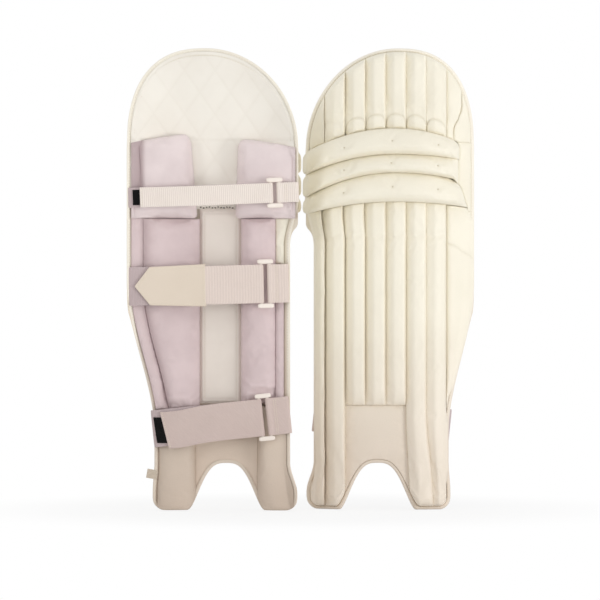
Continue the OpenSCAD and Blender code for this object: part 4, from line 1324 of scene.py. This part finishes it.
def brushed(name, pale, deep, pile=0.35):
    """Brushed cloth: a fine knit under a soft nap, mottled, and with painted shade towards its seams and
    creases.
    """
    f = Finish(name, Specular_IOR_Level=0.2, Sheen_Weight=pile, Sheen_Roughness=0.5, Roughness=0.92)
    knit = f.wave(f.flat(0), 0.0011) * f.wave(f.flat(1), 0.0013)
    nap = f.noise(1500.0, detail=4.0, rough=0.7)
    body = f.blend(f.span(f.noise(26.0, detail=4.0), 0.3, 0.75) * 0.22 + knit * 0.06, pale, deep)
    # painted shade towards the seams and along the shaded creases
    body = f.blend(f.shade() * 0.26, body, deep)
    soft = f.bump(knit + nap * 1.2, 0.00018, f.bump(f.noise(30.0, detail=3.0), 0.0009, strength=0.4))
    return f.set(Base_Color=body, Normal=soft)


def woven(name, pale, deep, pitch, slant=0.0, depth=0.2):
    """Woven webbing: ridges across it, one each pitch and perhaps slanted, and fine warp threads along
    it."""
    f = Finish(name, Specular_IOR_Level=0.25, Sheen_Weight=0.15)
    ridge, warp = f.wave(f.flat(1) + f.flat(0) * slant, pitch), f.wave(f.flat(0), 0.0009)
    body = f.blend((1.0 - ridge) * depth + f.noise(420.0, detail=3.0) * 0.12, pale, deep)
    body = f.blend(f.span(f.noise(22.0, detail=3.0), 0.4, 0.8) * 0.12, body, deep)
    thread = f.bump(ridge + warp * ridge * 0.45, 0.00024, f.bump(f.noise(60.0), 0.0005, strength=0.4))
    return f.set(Base_Color=body, Roughness=0.72 + f.noise(300.0) * 0.15, Normal=thread)


def linen(name, pale, deep):
    """Plain cotton lining: a square weave, with painted shade along the quilting lines and hems."""
    f = Finish(name, Specular_IOR_Level=0.2, Sheen_Weight=0.12, Roughness=0.88)
    weave = f.wave(f.part(0), 0.0010) * f.wave(f.part(2), 0.0010)
    body = f.blend(f.span(f.noise(14.0, detail=4.0), 0.35, 0.8) * 0.25 + weave * 0.06, pale, deep)
    # painted shade along the quilting lines and hems
    body = f.blend(f.shade() * 0.5, body, deep)
    creases = f.bump(f.noise(55.0, detail=4.0), 0.001, strength=0.5)
    return f.set(Base_Color=body, Normal=f.bump(weave, 0.0002, creases))


def moulded(name, pale, deep):
    """Moulded plastic: a satin skin with faint flow marks and tiny pits."""
    f = Finish(name, Specular_IOR_Level=0.45)
    body = f.blend(f.span(f.noise(60.0, detail=4.0), 0.3, 0.8) * 0.3, pale, deep)
    rough = 0.34 + f.noise(160.0, detail=3.0) * 0.2
    return f.set(Base_Color=body, Roughness=rough, Normal=f.bump(f.noise(900.0, detail=3.0), 0.00006))


def hooked(name):
    """Hook fastener: rows of tiny black hooks that catch a little light, painted as a lighter grey at each
    hook.
    """
    f = Finish(name, Specular_IOR_Level=0.15)
    rows = f.cells(900.0)
    # painted highlight: each hook a little lighter at its middle
    body = f.blend(f.span(rows, 0.5, 0.1), colour(5, 5, 5), colour(20, 20, 21))
    return f.set(Base_Color=body, Roughness=0.62 + rows * 0.3, Normal=f.bump(rows, 0.0005))


def twisted(name, pale, deep):
    """Sewing thread: a tight twist in two tones."""
    f = Finish(name, Specular_IOR_Level=0.3)
    twist = f.wave(f.part(0) + f.part(2) + f.part(1), 0.0011)
    body = f.blend(twist * 0.6, pale, deep)
    return f.set(Base_Color=body, Roughness=0.6 + twist * 0.2, Normal=f.bump(twist, 0.0001))


def split_cane(name):
    """Split cane: long fibres with darker pores."""
    f = Finish(name, Specular_IOR_Level=0.3)
    long_way = f.node("ShaderNodeMapping", sockets={"Vector": f.place, "Scale": (1.0, 1.0, 0.04)})
    fibre = f.noise(900.0, detail=4.0, where=long_way)
    return f.set(Base_Color=f.blend(f.span(fibre, 0.35, 0.7), colour(214, 184, 132), colour(160, 120, 74)),
                 Roughness=0.55 + fibre * 0.2, Normal=f.bump(fibre, 0.0002))


# CREAM above and WARM at the feet: each facing's warmer foot tone is partly its own colour and partly painted
# shade for the light that falls off lower down. DEEP is the tone of mottling, pores and the painted shade in
# the seams.
CREAM, WARM, DEEP = colour(247, 241, 224), colour(238, 226, 211), colour(206, 196, 174)
FINISHES = {
    "facing": faced("cream_facing", CREAM, WARM, DEEP),
    "backing": faced("foot_facing", colour(240, 231, 214), colour(216, 199, 183), colour(164, 146, 128),
                     rough=0.5, seam=0.45),
    "core_facing": faced("core_facing", colour(240, 231, 214), colour(228, 210, 193), colour(172, 154, 136),
                         rough=0.5, seam=0.45),
    "instep": faced("instep_facing", colour(240, 232, 215), colour(229, 215, 200), colour(198, 186, 165)),
    "soft_cloth": brushed("lilac_cloth", colour(240, 226, 225), colour(194, 175, 176)),
    "bolster_cloth": brushed("bolster_cloth", colour(227, 208, 208), colour(182, 161, 162)),
    "lining": linen("white_lining", colour(253, 248, 238), colour(228, 219, 205)),
    "strip": linen("shin_strip_cloth", colour(243, 234, 224), colour(208, 195, 185)),
    "tape": faced("binding_tape", colour(249, 243, 229), colour(229, 215, 200), colour(214, 202, 182),
                  rough=0.5),
    # the strap webbings step darker from knee to ankle: partly their own colours, partly painted shade for
    # the light falling off lower down
    "webbing": woven("strap_webbing", colour(250, 240, 231), colour(202, 186, 176), pitch=0.0029, depth=0.36),
    "calf_webbing": woven("calf_webbing", colour(233, 218, 209), colour(190, 172, 163), pitch=0.0042),
    "ankle_webbing": woven("ankle_webbing", colour(217, 198, 191), colour(180, 161, 154),
                           pitch=0.0024, slant=0.5, depth=0.06),
    "lilac_webbing": woven("lower_webbing", colour(203, 186, 186), colour(162, 144, 144), pitch=0.0024),
    "woven_tab": woven("tab_weave", colour(216, 203, 186), colour(166, 150, 132), pitch=0.0022),
    "buckle": moulded("buckle_plastic", colour(248, 238, 228), colour(222, 207, 196)),
    "hook": hooked("black_hooks"),
    "patch": faced("patch_facing", colour(228, 214, 197), colour(226, 212, 195), colour(190, 174, 154),
                   rough=0.42),
    "thread": twisted("seam_thread", colour(240, 231, 213), colour(206, 193, 170)),
    "tie": twisted("tie_thread", colour(226, 215, 192), colour(196, 184, 160)),
    "dark_thread": twisted("dark_thread", colour(96, 86, 78), colour(60, 52, 48)),
    "cane": split_cane("split_cane"),
}


# making the pieces
SMOOTH_ANGLE = math.radians(58.0)


def make(side, name, shape, finishes, body, node=None):
    """Puts a shape into the frame for one pad: moved half the pitch, or for the left pad turned half
    round too."""
    turn = 1.0 if side == "right" else -1.0
    points = shape["points"] * MM
    points = np.stack([turn * (points[:, 0] + HALF_PITCH * MM), turn * points[:, 1], points[:, 2]], -1)
    faces = shape["faces"].astype(np.int32)
    mesh = bpy.data.meshes.new(f"{side}_{name}")
    mesh.vertices.add(len(points))
    mesh.vertices.foreach_set("co", points.ravel())
    mesh.loops.add(faces.size)
    mesh.loops.foreach_set("vertex_index", faces.ravel())
    mesh.polygons.add(len(faces))
    mesh.polygons.foreach_set("loop_start", np.arange(0, faces.size, 4, dtype=np.int32))
    mesh.polygons.foreach_set("use_smooth", np.ones(len(faces), bool))
    if "finish" in shape:
        mesh.polygons.foreach_set("material_index", shape["finish"].astype(np.int32))
    flat = mesh.uv_layers.new(name="flat")
    flat.data.foreach_set("uv", (shape["flat"][faces.ravel()] * MM).ravel())
    shade = mesh.attributes.new("shade", "FLOAT", "POINT")
    shade.data.foreach_set("value", shape["shade"].astype(np.float32))
    mesh.update(calc_edges=True)
    mesh.set_sharp_from_angle(angle=SMOOTH_ANGLE)
    obj = bpy.data.objects.new(f"{side}_{name}", mesh)
    bpy.context.scene.collection.objects.link(obj)
    for finish in finishes:
        mesh.materials.append(FINISHES[finish])
    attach(obj, f"{side}_{body}")
    if node:
        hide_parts(f"{side}_{node}")
    return obj


for shape_piece in (shape_shin_ribs, shape_instep_panel, shape_top_hat, shape_side_wing, shape_knee_gusset,
                    shape_knee_cushions, shape_shin_bolsters, shape_side_rolls, shape_foot_rolls):
    shape_piece()
for roll in range(3):
    shape_knee_roll(roll)
inflate([lobe for lobes in LOBES.values() for lobe in lobes])

# each stuffed piece's finishes and how full it is
COVERS = {"shin_ribs": (["facing"], 0.9), "instep_panel": (["instep"], 0.5), "top_hat": (["facing"], 0.9),
          "side_wing": (["facing"], 0.6), "knee_gusset": (["facing"], 0.6),
          "knee_roll_upper": (["facing"], 0.95), "knee_roll_middle": (["facing"], 0.95),
          "knee_roll_lower": (["facing"], 0.95), "knee_cushions": (["soft_cloth"], 0.8),
          "shin_bolsters": (["bolster_cloth"], 0.75), "side_rolls": (["bolster_cloth", "facing"], 0.7),
          "foot_rolls": (["backing"], 0.85)}
WEBS = ["webbing", "calf_webbing", "ankle_webbing"]
# how far the woven tab stands out of each pad
TAB_REACH = {"left": 13.0, "right": 0.0}
covers = {piece: together([lobe_skin(lobe) for lobe in LOBES[piece]]) for piece in COVERS}
core, lining, strip, binding = core_skin(), lining_skin(), panel_skin(), binding_skin()
ties, face_thread, rear_thread = tie_skin(), front_thread(), back_thread()
sewn_hem, sewn_anchors = hem_thread(), anchor_thread()
runs = together([run_skin(i) for i in range(3)])
anchors = together([dict(anchor_skin(i), slot=i) for i in range(3)])

for side in SIDES:
    for piece, (finishes, fill) in COVERS.items():
        make(side, piece + "_cover", covers[piece], finishes, "pad", piece)
    make(side, "faced_core", core, ["core_facing"], "pad", "foam_core")
    make(side, "quilted_lining_cover", lining, ["lining"], "pad", "quilted_lining")
    make(side, "shin_strip", strip, ["strip"], "pad", "shin_panel")
    make(side, "folded_binding", binding, ["tape"], "pad", "edge_binding")
    make(side, "tie_threads", ties, ["tie"], "pad", "roll_ties")
    make(side, "front_stitching", face_thread, ["thread"], "pad")
    make(side, "back_stitching", rear_thread, ["thread"], "pad")
    make(side, "hem_stitching", sewn_hem, ["dark_thread"], "pad")
    make(side, "anchor_stitching", sewn_anchors, ["thread"], "pad")
    make(side, "woven_tab", tab_skin(TAB_REACH[side]), ["woven_tab"], "pad", "side_tab")
    make(side, "lower_straps", runs, ["lilac_webbing"], "pad", "strap_runs")
    make(side, "anchor_webbing", anchors, WEBS, "pad", "strap_anchors")
    for i, strap in enumerate(STRAPS):
        flap = strap + "_flap"
        make(side, strap + "_buckle_frame", buckle_skin(i), ["buckle"], strap + "_loop", strap + "_buckle")
        make(side, strap + "_strap_webbing", strap_skin(i), [WEBS[i]], flap, strap + "_strap")
        make(side, strap + "_strap_stitching", strap_thread(i), ["thread"], flap)
        if i == 1:
            make(side, "calf_end_patch", patch_skin(), ["patch"], flap, "calf_patch")
            make(side, "calf_hook_backing", backing_skin(), ["hook"], flap)
        else:
            make(side, strap + "_hook_tab", hook_skin(i), ["hook"], flap, strap + "_hook")
    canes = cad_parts[side + "_canes"]
    canes.data.materials.clear()
    canes.data.materials.append(FINISHES["cane"])


# stage, light and camera
WHITE = (1.0, 1.0, 1.0, 1.0)
# the rays that see the plain white of the floor and the world
SEEN_RAYS = ("Is Camera Ray", "Is Glossy Ray", "Is Transmission Ray")


def white_floor(rings=24, around=64, reach=3.0):
    """Pale floor disc that keeps the shadow near the object and fades to plain white further out."""
    turns = np.linspace(0.0, 2.0 * np.pi, around, endpoint=False)
    ring, turn = np.meshgrid(np.linspace(0.0, 1.0, rings), turns, indexing="ij")
    points = np.stack([reach * ring * np.cos(turn), reach * ring * np.sin(turn),
                       np.full_like(ring, -0.0005)], -1)
    at = np.arange(rings * around).reshape(rings, around)
    nxt = np.roll(at, -1, axis=1)
    faces = np.stack([at[:-1], at[1:], nxt[1:], nxt[:-1]], -1).reshape(-1, 4)
    mesh = bpy.data.meshes.new("studio_floor")
    mesh.from_pydata(points.reshape(-1, 3).tolist(), [], faces.tolist())
    obj = bpy.data.objects.new("studio_floor", mesh)
    bpy.context.scene.collection.objects.link(obj)
    f = Finish("pale_floor", Roughness=0.95, Specular_IOR_Level=0.0)
    f.set(Base_Color=(0.86, 0.86, 0.86, 1.0))
    away = f.node("ShaderNodeVectorMath", {"operation": "LENGTH"}, {0: f.place}, "Value")
    path = [f.node("ShaderNodeLightPath", out=key) for key in SEEN_RAYS]
    seen = f.node("ShaderNodeMath", {"operation": "MINIMUM"}, {0: path[0] + path[1] + path[2], 1: 1.0})
    glow = f.node("ShaderNodeEmission", sockets={"Color": WHITE, "Strength": 1.0})
    share = seen * (0.82 + 0.18 * f.span(away, 0.25, 0.6))
    mixed = f.node("ShaderNodeMixShader", sockets={0: share, 2: glow})
    f.tree.links.new(f.shader.outputs[0], mixed.socket.node.inputs[1])
    f.tree.links.new(mixed.socket, f.tree.nodes["Material Output"].inputs["Surface"])
    mesh.materials.append(f.material)


def lamp(name, place, aim, size, power, spread=180.0):
    """A square soft lamp at a place, turned to its aim, with its light kept to a spread in degrees."""
    data = bpy.data.lights.new(name, "AREA")
    data.size, data.energy, data.spread = size, power, math.radians(spread)
    obj = bpy.data.objects.new(name, data)
    bpy.context.scene.collection.objects.link(obj)
    ahead = np.array(aim) - np.array(place)
    tip = math.acos(-ahead[2] / np.linalg.norm(ahead))
    obj.location = place
    obj.rotation_euler = (tip, 0.0, math.atan2(ahead[1], ahead[0]) - math.pi / 2)


def soft_light():
    """Key lamp low on the right, a weak fill on the left, and an even white world."""
    lamp("key_lamp", (1.7, -1.35, 0.14), (0.0, 0.0, 0.42), size=0.6, power=15.0)
    lamp("fill_lamp", (-1.7, -1.6, 0.6), (-0.16, 0.0, 0.44), size=0.5, power=0.1, spread=16.0)
    world = bpy.data.worlds.new("white_world")
    bpy.context.scene.world = world
    world.use_nodes = True
    nodes, links = world.node_tree.nodes, world.node_tree.links
    path = nodes.new("ShaderNodeLightPath")
    seen = nodes.new("ShaderNodeMath")
    seen.operation = "ADD"
    both = nodes.new("ShaderNodeMath")
    both.operation, both.use_clamp = "ADD", True
    level_out = nodes.new("ShaderNodeMapRange")
    level_out.inputs["To Min"].default_value, level_out.inputs["To Max"].default_value = 0.82, 1.0
    for source, socket in ((path.outputs[SEEN_RAYS[0]], seen.inputs[0]),
                           (path.outputs[SEEN_RAYS[1]], seen.inputs[1]),
                           (seen.outputs[0], both.inputs[0]),
                           (path.outputs[SEEN_RAYS[2]], both.inputs[1]),
                           (both.outputs[0], level_out.inputs["Value"]),
                           (level_out.outputs[0], nodes["Background"].inputs["Strength"])):
        links.new(source, socket)
    nodes["Background"].inputs["Color"].default_value = WHITE


def photo_camera(away=6.0, pixel=1.52, pixels=600.0, sensor=36.0):
    """Level camera 6 m in front, at which one pixel of a 600 pixel frame is 1.52 mm."""
    data = bpy.data.cameras.new("camera")
    data.sensor_width = sensor
    data.lens = sensor * (away * PER_METRE / pixel) / pixels
    obj = bpy.data.objects.new("camera", data)
    bpy.context.scene.collection.objects.link(obj)
    obj.location = (-0.003, -away, 0.3180)
    obj.rotation_euler = (math.pi / 2.0, 0.0, 0.0)
    bpy.context.scene.camera = obj


white_floor()
soft_light()
photo_camera()
bpy.context.scene.view_settings.view_transform = "Standard"
